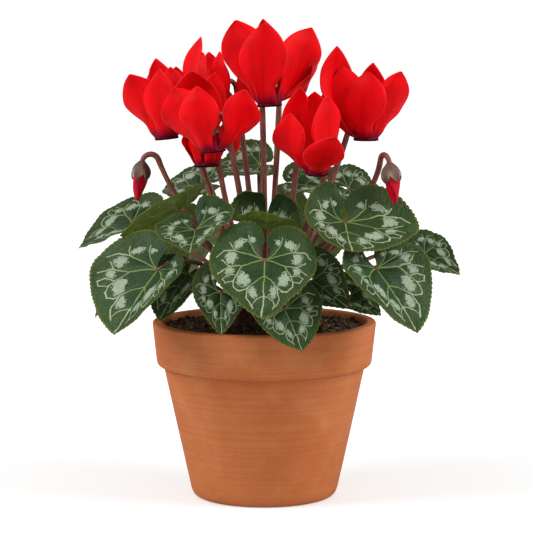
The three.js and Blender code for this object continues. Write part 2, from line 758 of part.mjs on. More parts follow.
// Each stem grows from its ring of the crown, at the place nearest to where it goes that leaves its
// neighbours room.
const tiers = [19, 14, 9, 4]; // radii of the rings
const rootDepth = 4;
const rootSpacing = 5.6;
for (const [k, leaf] of leaves.entries()) {
  leaves[k] = { ...commonLeaf, ...leaf };
}
const stems = [...leaves, ...flowers, ...buds];
for (const [tier, radius] of tiers.entries()) {
  const members = stems.filter((stem) => (stem.tier ?? 1) === tier);
  for (const stem of members) {
    const [x, y] = stem.at ?? stem.mouth;
    stem.bearing = Math.atan2(x, -y) / degree;
  }
  members.sort((a, b) => a.bearing - b.bearing);
  const room = (2 * Math.asin(rootSpacing / (2 * radius))) / degree;
  for (let pass = 0; pass < 400; pass += 1) {
    for (const [k, stem] of members.entries()) {
      const next = members[(k + 1) % members.length];
      const turnsOn = k + 1 === members.length ? 360 : 0;
      const push = Math.max(room - (next.bearing + turnsOn - stem.bearing), 0) / 2;
      stem.bearing -= push;
      next.bearing += push;
    }
  }
  for (const stem of members) {
    stem.root = compass(stem.bearing).multiplyScalar(radius).setZ(crownLevel - rootDepth);
  }
}

// The parts.
const finish = {
  terracotta: { color: 0xc06a45, roughness: 0.85, metalness: 0 },
  soil: { color: 0x2e211a, roughness: 1, metalness: 0 },
  tuber: { color: 0x5b4030, roughness: 0.95, metalness: 0 },
  leaf: { color: 0x3f6b4c, roughness: 0.6, metalness: 0 },
  petal: { color: 0xd8101c, roughness: 0.55, metalness: 0 },
  stalk: { color: 0x7c4034, roughness: 0.6, metalness: 0 },
};
const plant = new THREE.Group();

function addPart(name, solid, look) {
  const mesh = new THREE.Mesh(toGeometry(solid), new THREE.MeshStandardMaterial(finish[look]));
  mesh.name = name;
  plant.add(mesh);
}

const number = (k) => String(k + 1).padStart(2, "0");

addPart("pot", toSolid(turn(potProfile(), pot.sides)), "terracotta");
addPart("soil", makeSoil(), "soil");

const socketRadius = (form) => (form.stemRadius + gap) / Math.cos(Math.PI / form.sides);
let crown = toSolid(tuberShape(0));
const extension = -0.01; // how far a socket goes on below its stem's foot, as a share of the stem's path
for (const [k, leaf] of leaves.entries()) {
  const socket = rod(petiolePath(leaf, extension), socketRadius(leafForm), leafForm.sides);
  crown = crown.subtract(toSolid(socket));
  addPart(`leaf_${number(k)}`, makeLeaf(leaf), "leaf");
}
const collar = flowerForm.tubeHeight + flowerForm.calyxHeight;
for (const [k, flower] of flowers.entries()) {
  const frame = flowerFrame(flower);
  const cone = calyxShape(flowerForm.calyxHeight - gap, flowerForm.calyxRadius, collar, false);
  const calyx = toSolid(inFrame(cone, frame));
  const path = stalkPath(flower, frame, collar, extension);
  crown = crown.subtract(toSolid(rod(path, socketRadius(flowerForm), flowerForm.sides)));
  addPart(`bloom_${number(k)}`, makeCorolla(flower), "petal");
  addPart(`stalk_${number(k)}`, makeStalk(flower, collar, calyx), "stalk");
}
for (const bud of buds) {
  const frame = flowerFrame(bud);
  const cone = calyxShape(budForm.calyxHeight, budForm.calyxRadius, budForm.collar, true);
  const calyx = toSolid(inFrame(cone, frame))
    .subtract(toSolid(inFrame(budShape(gap), frame)));
  const path = stalkPath(bud, frame, budForm.collar, extension);
  crown = crown.subtract(toSolid(rod(path, socketRadius(flowerForm), flowerForm.sides)));
  addPart(`bud_${bud.name}`, toSolid(inFrame(budShape(0), frame)), "petal");
  addPart(`budstalk_${bud.name}`, makeStalk(bud, budForm.collar, calyx), "stalk");
}
addPart("tuber", crown, "tuber");

export default plant;
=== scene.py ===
import math

import bpy
import numpy as np
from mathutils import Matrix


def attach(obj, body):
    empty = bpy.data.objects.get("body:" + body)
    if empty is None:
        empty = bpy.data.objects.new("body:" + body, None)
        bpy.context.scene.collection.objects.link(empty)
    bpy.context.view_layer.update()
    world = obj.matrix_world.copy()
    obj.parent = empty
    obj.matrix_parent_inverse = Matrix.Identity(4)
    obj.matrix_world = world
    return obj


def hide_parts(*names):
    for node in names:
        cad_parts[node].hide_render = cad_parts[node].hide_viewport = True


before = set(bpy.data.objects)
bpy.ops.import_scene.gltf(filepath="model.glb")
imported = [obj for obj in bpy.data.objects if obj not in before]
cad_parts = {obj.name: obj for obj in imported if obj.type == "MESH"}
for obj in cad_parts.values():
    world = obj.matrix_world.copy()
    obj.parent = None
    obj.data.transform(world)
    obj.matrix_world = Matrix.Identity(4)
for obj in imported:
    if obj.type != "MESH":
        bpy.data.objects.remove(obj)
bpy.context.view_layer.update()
mm = 0.001
up = np.array([0.0, 0.0, 1.0])
print("frame: loaded", len(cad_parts), "nodes")


# Small tools for points and runs

def unit(v):
    return v / np.linalg.norm(v, axis=-1, keepdims=True)


def compass(angle):
    return np.array([math.sin(math.radians(angle)), -math.cos(math.radians(angle)), 0.0])


def turned(v, axis, angle):  # v turned about a unit axis by an angle in degrees
    a = math.radians(angle)
    return v * math.cos(a) + np.cross(axis, v) * math.sin(a) + axis * (axis @ v) * (1 - math.cos(a))


def along(table, place):
    # A smooth run through rows of (place, value): cubic pieces whose slope at a row is its neighbours'.
    t, v = np.array(table, float).T
    ends = np.arange(len(t))
    after, before = np.minimum(ends + 1, len(t) - 1), np.maximum(ends - 1, 0)
    slope = (v[after] - v[before]) / (t[after] - t[before])
    k = np.clip(np.searchsorted(t, place) - 1, 0, len(t) - 2)
    width = t[k + 1] - t[k]
    u = np.clip((place - t[k]) / width, 0, 1)
    rest = 1 - u
    return (v[k] * (1 + 2 * u) * rest**2 + slope[k] * width * u * rest**2
            + v[k + 1] * (3 - 2 * u) * u**2 - slope[k + 1] * width * u**2 * rest)


def bezier(a, b, c, d, t):
    t = t[:, None]
    return (1 - t)**3 * a + 3 * (1 - t)**2 * t * b + 3 * (1 - t) * t**2 * c + t**3 * d


def ease(low, high, x):  # 0 below low, 1 above high, smooth between
    t = np.clip((x - low) / (high - low), 0, 1)
    return t * t * (3 - 2 * t)


def bumps(points, size, seed, octaves=3):
    # Smooth noise from -1 to 1: sums of sines in random directions, each octave finer and weaker.
    draw = np.random.default_rng(seed)
    total = np.zeros(points.shape[:-1])
    for octave in range(octaves):
        for _ in range(5):
            way = unit(draw.normal(size=3)) * 2 * math.pi * 2**octave / size
            total += np.sin(points @ way + draw.uniform(0, 6.28)) * 0.55**octave / 3
    return total


# Grids of points, their faces and the finished meshes

def gridQuads(rows, columns, closed=False):
    # Quads between neighbouring rows and columns; closed joins the last column to the first.
    r = np.arange(rows - 1)[:, None]
    c = np.arange(columns if closed else columns - 1)[None, :]
    here, beside = r * columns + c, r * columns + (c + 1) % columns
    return np.stack([here, beside, beside + columns, here + columns], -1).reshape(-1, 4)


def pointNormals(points, quads):
    # The cross product of each face's diagonals, summed over the faces round a point.
    _, same = np.unique(np.round(points, 4), axis=0, return_inverse=True)
    same = same.ravel()
    p = points[quads]
    across = np.cross(p[:, 2] - p[:, 0], p[:, 3] - p[:, 1])
    total = np.zeros((same.max() + 1, 3))
    for corner in range(4):
        np.add.at(total, same[quads[:, corner]], across)
    return unit(total + 1e-12)[same]


def shell(grid, thickness, relief=None):
    # A sheet of rows by columns of points as a closed shell: a front and a back face half the thickness
    # off it along its normals, and a rim round its border. Patch 0 is the front and rim, 1 the back.
    rows, columns = grid.shape[:2]
    flat = grid.reshape(-1, 3)
    quads = gridQuads(rows, columns)
    normals = pointNormals(flat, quads)
    if relief is not None:
        flat = flat + normals * relief.reshape(-1, 1)
    half = np.broadcast_to(thickness, (rows, columns)).reshape(-1, 1) / 2
    index = np.arange(rows * columns).reshape(rows, columns)
    border = np.concatenate([index[0, :-1], index[:-1, -1], index[-1, :0:-1], index[:0:-1, 0]])
    after = np.roll(border, -1)
    size = rows * columns
    rim = np.stack([after, border, border + size, after + size], -1)
    points = np.vstack([flat + normals * half, flat - normals * half])
    return points, np.vstack([quads, rim]), quads[:, ::-1] + size


def turnedBody(profile, sides, change=None):
    # A profile of (radius, height) rows carried round Z, closed at both ends on the axis.
    r, z = np.array(profile, float).T
    a = np.linspace(0, 2 * math.pi, sides, endpoint=False)
    radius, angle = np.meshgrid(r, a, indexing="ij")
    height = np.repeat(z[:, None], sides, 1)
    if change:
        radius, height = change(radius, angle, height)
    grid = np.stack([radius * np.cos(angle), radius * np.sin(angle), height], -1)
    around = np.stack([angle / (2 * math.pi), height / max(np.ptp(z), 1e-6)], -1)
    return grid, gridQuads(len(r), sides, True), around


def runLength(path):  # the length run along a path up to each of its points
    return np.concatenate([[0], np.cumsum(np.linalg.norm(np.diff(path, axis=0), axis=1))])


def tube(path, radius, sides, plane):
    # A round section carried along a path and closed at both ends. plane is a direction that the path
    # never runs along. Along the map's y, 1 is 10 mm.
    forward = unit(np.gradient(path, axis=0))
    one = unit(plane - (forward @ plane)[:, None] * forward)
    two = np.cross(forward, one)
    a = np.linspace(0, 2 * math.pi, sides, endpoint=False)[None, :, None]
    radius = radius[:, None, None]
    ring = path[:, None] + radius * (one[:, None] * np.cos(a) + two[:, None] * np.sin(a))
    tips = np.repeat(path[[0, -1]][:, None], sides, 1)
    ring = np.concatenate([tips[:1], ring, tips[1:]])
    length = runLength(path)
    length = np.concatenate([length[:1], length, length[-1:]])[:, None] / 10
    turns = np.linspace(0, 1, sides, endpoint=False)[None]
    return ring, gridQuads(len(ring), sides, True), np.stack(np.broadcast_arrays(turns, length), -1)


def addPiece(name, patches, looks, nodes=(), values=None):
    # Puts patches of points, quads, map and look into one mesh. Points that meet are made one, and a
    # quad that has lost a corner by it becomes a triangle. values are numbers kept for each point.
    points = np.vstack([p["points"].reshape(-1, 3) for p in patches])
    maps = np.vstack([p["map"].reshape(-1, 2) for p in patches])
    starts = np.cumsum([0] + [p["points"].size // 3 for p in patches])
    quads = np.vstack([p["quads"] + start for p, start in zip(patches, starts)])
    look = np.concatenate([np.broadcast_to(p.get("look", 0), len(p["quads"])) for p in patches])
    _, first, same = np.unique(np.round(points, 4), axis=0, return_index=True, return_inverse=True)
    corners = same.ravel()[quads]
    kept = corners != np.roll(corners, 1, axis=1)
    whole = kept.sum(1) >= 3
    loops, sizes = corners[whole][kept[whole]], kept[whole].sum(1)
    mesh = bpy.data.meshes.new(name)
    mesh.vertices.add(len(first))
    mesh.vertices.foreach_set("co", (points[first] * mm).astype(np.float32).ravel())
    mesh.loops.add(len(loops))
    mesh.loops.foreach_set("vertex_index", loops.astype(np.int32))
    mesh.polygons.add(len(sizes))
    mesh.polygons.foreach_set("loop_start", np.concatenate([[0], np.cumsum(sizes)[:-1]]).astype(np.int32))
    mesh.polygons.foreach_set("material_index", look[whole].astype(np.int32))
    mesh.polygons.foreach_set("use_smooth", np.ones(len(sizes), bool))
    mesh.uv_layers.new(name="pattern").data.foreach_set(
        "uv", maps[quads][whole][kept[whole]].astype(np.float32).ravel())
    for key, value in (values or {}).items():
        mesh.attributes.new(key, "FLOAT", "POINT").data.foreach_set(
            "value", np.asarray(value).ravel()[first].astype(np.float32))
    mesh.update(calc_edges=True)
    for material in looks:
        mesh.materials.append(material)
    piece = bpy.data.objects.new(name, mesh)
    bpy.context.scene.collection.objects.link(piece)
    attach(piece, "root")
    if nodes:
        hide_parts(*nodes)


# Shader nodes, by name and by what they do

def tint(r, g, b):  # a colour as a screen shows it, 0 to 255, in the linear light that shaders use
    c = np.array([r, g, b]) / 255
    return (*np.where(c <= 0.04045, c / 12.92, ((c + 0.055) / 1.055)**2.4), 1.0)


def feed(tree, socket, value):  # gives a socket a constant, or joins it to another node's output
    if isinstance(value, bpy.types.NodeSocket):
        tree.links.new(value, socket)
    else:
        socket.default_value = value


def node(tree, kind, inputs=None, **settings):
    made = tree.nodes.new("ShaderNode" + kind)
    for key, value in settings.items():
        setattr(made, key, value)
    for key, value in (inputs or {}).items():
        feed(tree, made.inputs[key], value)
    return made


def calc(tree, operation, *values):
    return node(tree, "Math", dict(enumerate(values)), operation=operation).outputs[0]


def vectorCalc(tree, operation, *values, scale=None):
    made = node(tree, "VectorMath", dict(enumerate(values)), operation=operation)
    if scale is not None:
        feed(tree, made.inputs["Scale"], scale)
    return made.outputs["Value" if operation in ("DOT_PRODUCT", "LENGTH", "DISTANCE") else "Vector"]


def blend(tree, share, one, other):
    return node(tree, "Mix", {0: share, 6: one, 7: other}, data_type="RGBA").outputs[2]


def spread(tree, value, low, high, toLow=0.0, toHigh=1.0, smooth=True):
    kind = "SMOOTHSTEP" if smooth else "LINEAR"
    made = node(tree, "MapRange", {0: value, 1: low, 2: high, 3: toLow, 4: toHigh},
                interpolation_type=kind, clamp=not smooth)
    return made.outputs[0]


def noise(tree, place, scale, detail=2.0, rough=0.5, colour=False):
    made = node(tree, "TexNoise", {"Vector": place, "Scale": scale, "Detail": detail, "Roughness": rough})
    return made.outputs["Color" if colour else "Fac"]


def cells(tree, place, scale, feature="F1"):
    return node(tree, "TexVoronoi", {"Vector": place, "Scale": scale},
                feature=feature).outputs["Distance"]


def newGroup(name, inputs, outputs):
    group = bpy.data.node_groups.new(name, "ShaderNodeTree")
    for key, kind in inputs.items():
        group.interface.new_socket(key, in_out="INPUT", socket_type="NodeSocket" + kind)
    for key, kind in outputs.items():
        group.interface.new_socket(key, in_out="OUTPUT", socket_type="NodeSocket" + kind)
    return group, group.nodes.new("NodeGroupInput").outputs, group.nodes.new("NodeGroupOutput").inputs


def use(tree, group, **inputs):
    made = tree.nodes.new("ShaderNodeGroup")
    made.node_tree = group
    for key, value in inputs.items():
        feed(tree, made.inputs[key], value)
    return made.outputs


def newMaterial(name, **constants):
    material = bpy.data.materials.new(name)
    material.use_nodes = True
    tree = material.node_tree
    shader = tree.nodes["Principled BSDF"]
    for key, value in constants.items():
        shader.inputs[key].default_value = value
    return material, tree, shader


def finishWith(tree, shader, colour, roughness, height=None, depth=0.0005, strength=1.0):
    tree.links.new(colour, shader.inputs["Base Color"])
    feed(tree, shader.inputs["Roughness"], roughness)
    if height is not None:
        bump = node(tree, "Bump", {"Strength": strength, "Distance": depth, "Height": height})
        tree.links.new(bump.outputs["Normal"], shader.inputs["Normal"])


def mottleGroup():
    # Cloudy lighter and darker places over a surface, and a fine grain with it.
    group, given, out = newGroup(
        "mottle", {"Place": "Vector", "Size": "Float", "Grain": "Float"},
        {"Cloud": "Float", "Speck": "Float"})
    clouds = noise(group, given["Place"], given["Size"], 3.0)
    group.links.new(spread(group, clouds, 0.3, 0.7), out["Cloud"])
    group.links.new(noise(group, given["Place"], given["Grain"], 2.0), out["Speck"])
    return group


def fibresGroup():
    # Fine lines along a stalk or petal, from a map whose x runs across and y along.
    group, given, out = newGroup(
        "fibres", {"Map": "Vector", "Across": "Float", "Along": "Float"},
        {"Lines": "Float", "Streaks": "Float"})
    parts = node(group, "SeparateXYZ", {0: given["Map"]}).outputs
    stretched = node(group, "CombineXYZ", {
        0: calc(group, "MULTIPLY", parts[0], given["Across"]),
        1: calc(group, "MULTIPLY", parts[1], given["Along"]), 2: parts[2]}).outputs[0]
    group.links.new(noise(group, stretched, 1.0, 2.0), out["Lines"])
    group.links.new(spread(group, noise(group, stretched, 0.35, 1.0), 0.35, 0.7), out["Streaks"])
    return group


mottle, fibres = mottleGroup(), fibresGroup()
print("shader groups: mottle and fibres")


# The pot

pot = {
    "height": 118, "rimRadius": 75, "bandRadius": 72.4, "bandHeight": 30.2, "bandRound": 4,
    "shoulderRadius": 67.4, "footRadius": 49, "footRound": 5.5, "rimWall": 7, "rimRound": 2.2,
    "wall": 6.5, "floor": 9, "drainRadius": 9, "sides": 160, "row": 3,
    "clay": (198, 111, 52), "dark": (174, 87, 34), "bloom": (208, 135, 82),
    "ring": (150, 74, 44), "speck": (214, 140, 98),
    "roughness": (0.62, 0.85), "pits": 0.0003,
}


def roundedProfile(corners, steps=7):
    # Corners of (radius, height, round): each is replaced by a curve that starts and ends the round's
    # length away from it on its two sides.
    out = []
    for k, (r, z, reach) in enumerate(corners):
        here = np.array([r, z], float)
        if not reach:
            out.append(here[None])
            continue
        before = np.array(corners[k - 1][:2], float)
        after = np.array(corners[(k + 1) % len(corners)][:2], float)
        start, end = here + unit(before - here) * reach, here + unit(after - here) * reach
        t = np.linspace(0, 1, steps)[:, None]
        out.append((1 - t)**2 * start + 2 * (1 - t) * t * here + t**2 * end)
    return np.vstack(out)


def makePot():
    bandFoot = pot["height"] - pot["bandHeight"]
    inside = pot["rimRadius"] - pot["rimWall"]
    corners = [
        (pot["drainRadius"], 0, 0.8),
        (pot["footRadius"] - 1.5, 0, pot["footRound"] - 1.5),
        (pot["footRadius"] + 0.4, pot["footRound"], 1.5),
        (pot["shoulderRadius"], bandFoot + 0.5, 0.8),
        (pot["bandRadius"] - 0.8, bandFoot, pot["bandRound"]),
        (pot["rimRadius"], pot["height"], pot["rimRound"]),
        (inside, pot["height"], pot["rimRound"]),
        (pot["bandRadius"] - pot["rimWall"], bandFoot, 3),
        (pot["shoulderRadius"] - pot["wall"], bandFoot - 6, 3),
        (pot["footRadius"] - pot["wall"], pot["floor"], 3),
        (pot["drainRadius"], pot["floor"], 0.8),
    ]
    profile = roundedProfile(corners)
    fine = [profile[0]]
    for a, b in zip(profile[:-1], profile[1:]):
        count = max(1, int(np.linalg.norm(b - a) // pot["row"]))
        fine += [a + (b - a) * (k + 1) / count for k in range(count)]
    fine.append(profile[0])

    def thrown(radius, angle, height):  # very slightly uneven, as a pressed and fired pot is
        wobble = 0.12 * np.sin(2 * angle + 0.02 * height) + 0.08 * np.sin(5 * angle + 0.05 * height)
        return radius + wobble * (radius > pot["drainRadius"] + 2), height

    grid, quads, around = turnedBody(fine, pot["sides"], thrown)
    addPiece("terracotta_pot", [{"points": grid, "quads": quads, "map": around}], [clayMaterial()],
             ["pot"])


def clayMaterial():
    # Colour: warm clay, darker in clouds, with a pale dusty bloom in places and faint level turning
    # marks, which are noise squeezed flat in Z. Bump: the marks, a fine grain and small pits.
    material, tree, shader = newMaterial("terracotta")
    place = node(tree, "TexCoord").outputs["Object"]
    cloud = use(tree, mottle, Place=place, Size=22.0, Grain=900.0)
    marks = node(tree, "Mapping", {"Vector": place, "Scale": (6.0, 6.0, 760.0)}).outputs[0]
    rings = noise(tree, marks, 1.0, 2.0)
    dust = spread(tree, noise(tree, place, 38.0, 4.0, 0.6), 0.48, 0.72)
    colour = blend(tree, calc(tree, "MULTIPLY", cloud["Cloud"], 0.4), tint(*pot["clay"]),
                   tint(*pot["dark"]))
    colour = blend(tree, calc(tree, "MULTIPLY", dust, 0.35), colour, tint(*pot["bloom"]))
    ringShare = spread(tree, rings, 0.35, 0.75, 0.0, 0.24)
    colour = blend(tree, ringShare, colour, tint(*pot["ring"]))
    speck = spread(tree, cloud["Speck"], 0.55, 0.75, 0.0, 0.25)
    colour = blend(tree, speck, colour, tint(*pot["speck"]))
    pits = spread(tree, cells(tree, place, 520.0), 0.0, 0.16)
    height = calc(tree, "ADD", calc(tree, "MULTIPLY", rings, 0.5),
                  calc(tree, "ADD", calc(tree, "MULTIPLY", cloud["Speck"], 0.5), pits))
    rough = spread(tree, cloud["Cloud"], 0.0, 1.0, *pot["roughness"])
    finishWith(tree, shader, colour, rough, height, pot["pits"], 0.5)
    return material


makePot()
print("pot: thrown")


# The soil, its crumbs and the tuber

soil = {
    "belowRim": 4.5, "mound": 3.0, "rough": 1.0, "sides": 150, "rows": 46,
    "crumbs": 620, "crumbSize": (0.7, 2.3), "dark": (46, 29, 15), "light": (112, 78, 46),
    "tan": (176, 134, 84),
    # gap is near-black painted shade between the grains
    "gap": (18, 12, 9), "crumbGrid": (5, 6), "crumbSeed": 5,
}
tuber = {"radius": 26, "depth": 20, "rise": 9, "flatRadius": 21, "sides": 72,
         "skin": (92, 66, 48), "deep": (58, 40, 30), "crack": (28, 20, 15)}
soilLevel = pot["height"] - soil["belowRim"]
crownLevel = soilLevel + tuber["rise"]


def soilHeight(x, y):
    # The level at the wall, raised in a low mound round the tuber, with lumps of several sizes.
    flat = np.stack([x, y, 0 * x], -1)
    middle = np.clip(1 - np.hypot(x, y) / (pot["rimRadius"] - pot["rimWall"]), 0, 1)
    rough = soil["rough"] * bumps(flat, 17, 3, 4)
    return soilLevel + soil["mound"] * np.sin(middle * math.pi / 2) + rough


def makeSoil():
    edge = pot["rimRadius"] - pot["rimWall"] - 0.2
    r = np.concatenate([np.linspace(0, edge, soil["rows"]), [edge - 1.5, 0]])
    a = np.linspace(0, 2 * math.pi, soil["sides"], endpoint=False)
    radius, angle = np.meshgrid(r, a, indexing="ij")
    x, y = radius * np.cos(angle), radius * np.sin(angle)
    z = soilHeight(x, y)
    z[-2:] = pot["height"] - 0.6 * pot["bandHeight"]
    grid = np.stack([x, y, z], -1)
    patches = [{"points": grid, "quads": gridQuads(len(r), soil["sides"], True), "map": grid[..., :2]}]
    patches.append(crumbPatch(edge))
    addPiece("potting_soil", patches, [soilMaterial()], ["soil"])


def crumbPatch(edge):
    # Each crumb is a low ball of a few points, pushed about at random, half sunk in the surface.
    draw = np.random.default_rng(soil["crumbSeed"])
    count, (rows, sides), (least, most) = soil["crumbs"], soil["crumbGrid"], soil["crumbSize"]
    r, a = edge * np.sqrt(draw.uniform(0.04, 0.97, count)), draw.uniform(0, 2 * math.pi, count)
    centre = np.stack([r * np.cos(a), r * np.sin(a), soilHeight(r * np.cos(a), r * np.sin(a))], -1)
    size = draw.uniform(0, 1, count)**2.2 * (most - least) + least
    downs, turns = np.linspace(0, math.pi, rows), np.linspace(0, 2 * math.pi, sides, endpoint=False)
    down, turn = np.meshgrid(downs, turns, indexing="ij")
    ball = np.stack([np.sin(down) * np.cos(turn), np.sin(down) * np.sin(turn), -np.cos(down)], -1)
    loose = (np.sin(down) > 0.1)[None, :, :, None]
    ball = ball[None, :, ::-1] * (1 + 0.3 * draw.normal(size=(count, rows, sides, 1)) * loose)
    shape = unit(draw.normal(size=(count, 3))) * 0.35 + draw.uniform(0.7, 1.2, (count, 3))
    points = centre[:, None, None] + ball * np.abs(shape)[:, None, None] * size[:, None, None, None]
    quads = gridQuads(rows, sides, True)[None, :, ::-1] + rows * sides * np.arange(count)[:, None, None]
    return {"points": points, "quads": quads.reshape(-1, 4), "map": points[..., :2]}


def soilMaterial():
    # Near-black peat with brown and tan grains, picked out by the random shade of small cells, and
    # near-black painted shade in the gaps between the grains.
    material, tree, shader = newMaterial("potting soil")
    place = node(tree, "TexCoord").outputs["Object"]
    grains = node(tree, "TexVoronoi", {"Vector": place, "Scale": 620.0})
    shade = node(tree, "SeparateColor", {0: grains.outputs["Color"]}).outputs[0]
    patches = noise(tree, place, 260.0, 3.0)
    colour = blend(tree, spread(tree, patches, 0.4, 0.7), tint(*soil["dark"]), tint(*soil["light"]))
    colour = blend(tree, spread(tree, shade, 0.72, 0.92, 0.0, 0.85), colour, tint(*soil["tan"]))
    # painted shade: near-black where the cells meet, in the gaps between grains
    colour = blend(tree, spread(tree, grains.outputs["Distance"], 0.2, 0.6, 0.0, 0.6), colour,
                   tint(*soil["gap"]))
    finishWith(tree, shader, colour, 0.95, calc(tree, "ADD", patches, grains.outputs["Distance"]), 0.0012)
    return material


def makeTuber():
    profile = [
        (0, soilLevel - tuber["depth"]), (0.62 * tuber["radius"], soilLevel - tuber["depth"] + 1),
        (0.9 * tuber["radius"], soilLevel - 0.75 * tuber["depth"]),
        (tuber["radius"], soilLevel - 0.4 * tuber["depth"]),
        (tuber["radius"], soilLevel + 0.2 * tuber["rise"]),
        (0.94 * tuber["radius"], soilLevel + 0.6 * tuber["rise"]),
        (tuber["flatRadius"], crownLevel - 1.2),
        (tuber["flatRadius"] - 5, crownLevel - 0.2), (tuber["flatRadius"] - 10, crownLevel),
        (0, crownLevel),
    ]

    def corky(radius, angle, height):
        at = np.stack([radius * np.cos(angle), radius * np.sin(angle), height], -1)
        grow = bumps(at, 9, 8, 3) * 0.6 * (radius > 0)
        return radius + grow, height + 0.5 * grow

    grid, quads, around = turnedBody(profile, tuber["sides"], corky)
    material, tree, shader = newMaterial("corky tuber")
    place = node(tree, "TexCoord").outputs["Object"]
    cloud = use(tree, mottle, Place=place, Size=160.0, Grain=700.0)
    colour = blend(tree, cloud["Cloud"], tint(*tuber["skin"]), tint(*tuber["deep"]))
    cracks = cells(tree, place, 190.0, "DISTANCE_TO_EDGE")
    colour = blend(tree, spread(tree, cracks, 0.0, 0.08, 0.7, 0.0), colour, tint(*tuber["crack"]))
    height = calc(tree, "ADD", spread(tree, cracks, 0.0, 0.1), cloud["Speck"])
    finishWith(tree, shader, colour, 0.9, height, 0.0008)
    addPiece("tuber_skin", [{"points": grid, "quads": quads, "map": around}], [material],
             ["tuber"])


makeSoil()
makeTuber()
print("soil and tuber: laid")


# What grows. Each leaf: at is where its stalk meets the blade, tip its point, width its full width, roll
# the turn about its midrib, fold the rise of each half, cup the extra rise at the margin, droop the bend
# of the tip and lobes that of the basal lobes, in degrees. uneven, deep and skew make one half wider, the
# basal lobes longer and one of them longer than the other. full makes its shoulders fuller, and wave is
# the height of the margin's waves. tier is the ring of the crown that its stalk grows from, rise the
# angle at which the stalk meets the blade.
commonLeaf = {
    "roll": 0, "fold": 16, "cup": 6, "droop": 14, "lobes": 8, "uneven": 0, "deep": 1, "skew": 0,
    "full": 0, "wave": 0.7, "tier": 1, "rise": 20,
}
leaves = [
    dict(at=(0.4, -85.8, 168.1), tip=(-1.1, -110, 133.3), width=70, fold=-9, cup=1, droop=18, lobes=4,
         uneven=0.04, deep=1.04, skew=-0.04, full=-0.01, tier=0, rise=10),
    dict(at=(-68.1, -64.5, 159.3), tip=(-94.5, -92.4, 121.1), width=72, roll=-14, fold=-11, cup=1,
         droop=9,
         lobes=31, uneven=0.61, deep=0.59, skew=-0.23, full=0.02, rise=-22),
    dict(at=(-44.6, -50.6, 183.6), tip=(-47.7, -73.8, 171.8), width=57, roll=4, fold=14, cup=2, droop=-14,
         lobes=59, uneven=-0.07, deep=1.11, skew=0.24, full=-0.02, rise=40),
    dict(at=(0.4, -41, 183.6), tip=(2.5, -77, 197), width=52, roll=-9, fold=7, cup=3, droop=-1, lobes=119,
         uneven=0.04, deep=1.55, skew=-0.03, full=0.02, tier=2, rise=50),
    dict(at=(51.9, -54, 189), tip=(55.4, -93.3, 173.6), width=76, roll=3, fold=0, cup=4, droop=-13,
         lobes=41, uneven=-0.3, deep=1.11, skew=0.02, full=0.01, rise=40),
    dict(at=(71.5, -70.7, 160.7), tip=(96.8, -91.9, 122.6), width=72, roll=7, fold=7, cup=1, droop=6,
         lobes=50, uneven=-0.18, deep=0.53, skew=-0.14, full=0.03, rise=-5),
    dict(at=(107.5, 10.4, 160.9), tip=(131.1, 4.3, 148.2), width=44, roll=35, fold=17, droop=12, lobes=7,
         uneven=0.06, deep=0.89, skew=-0.07, full=-0.01),
    dict(at=(12.9, -83, 136.3), tip=(24.1, -96.2, 111.7), width=48, roll=12, fold=3, cup=4, lobes=7,
         uneven=-0.07, deep=0.98, skew=-0.01, full=0.04, wave=0.5, tier=0, rise=5),
    dict(at=(-28, -72, 146), tip=(-27, -90, 121), width=36, roll=-6, fold=4, wave=0.5, tier=0, rise=10),
    dict(at=(-49.5, -44.1, 153.8), tip=(-66.8, -59.7, 125.5), width=50, roll=-12, cup=1, droop=30,
         lobes=0,
         uneven=0.05, deep=0.45, full=0.05, tier=0),
    dict(at=(31.5, -54, 151), tip=(54, -70, 135), width=44, roll=38, fold=20, tier=0),
    dict(at=(57, -36, 139), tip=(76, -44, 127), width=28, roll=45, fold=20, wave=0.4, tier=0),
    dict(at=(-91.4, 46.9, 178.6), tip=(-128, 50.8, 160.6), width=56, roll=-29, cup=1, droop=17, lobes=14,
         uneven=-0.04, deep=0.96, skew=0.02, full=0.05),
    dict(at=(-57.4, -10, 192), tip=(-95.2, -24, 177.4), width=60, roll=36, fold=-7, cup=4, lobes=62,
         uneven=0.04, deep=0.57, skew=0.41, full=-0.03, rise=40),
    dict(at=(-45.2, 74, 202.4), tip=(-72.4, 92, 198.4), width=50, roll=-40, fold=12, lobes=20, rise=40),
    dict(at=(-4, 61, 218.2), tip=(-35.2, 57, 213.2), width=50, roll=-46, fold=12, deep=0.55, tier=2,
         rise=60),
    dict(at=(21, 40, 206.4), tip=(46, 36, 202.4), width=46, roll=45, fold=12, deep=0.6, tier=2, rise=60),
    dict(at=(58, 38, 203), tip=(82, 40, 198), width=46, roll=38, fold=12, rise=50),
    dict(at=(88, 58, 160), tip=(108, 84, 128), width=60, tier=0),
    dict(at=(34, 80, 178), tip=(40, 100, 142), width=70, tier=0, rise=10),
    dict(at=(-48, 84, 165), tip=(-60, 104, 129), width=60, tier=0),
    dict(at=(-90, 8, 149), tip=(-114, 5, 119), width=50, tier=0),
    dict(at=(-84, 56, 146), tip=(-106, 72, 116), width=50, tier=0),
    dict(at=(57, 16, 172), tip=(81, 32, 168), width=44, droop=20, lobes=20, deep=0.6, rise=30),
    dict(at=(-10, 96, 150), tip=(-14, 111, 115), width=46, tier=0, rise=10),
]
leaves = [{**commonLeaf, **leaf} for leaf in leaves]

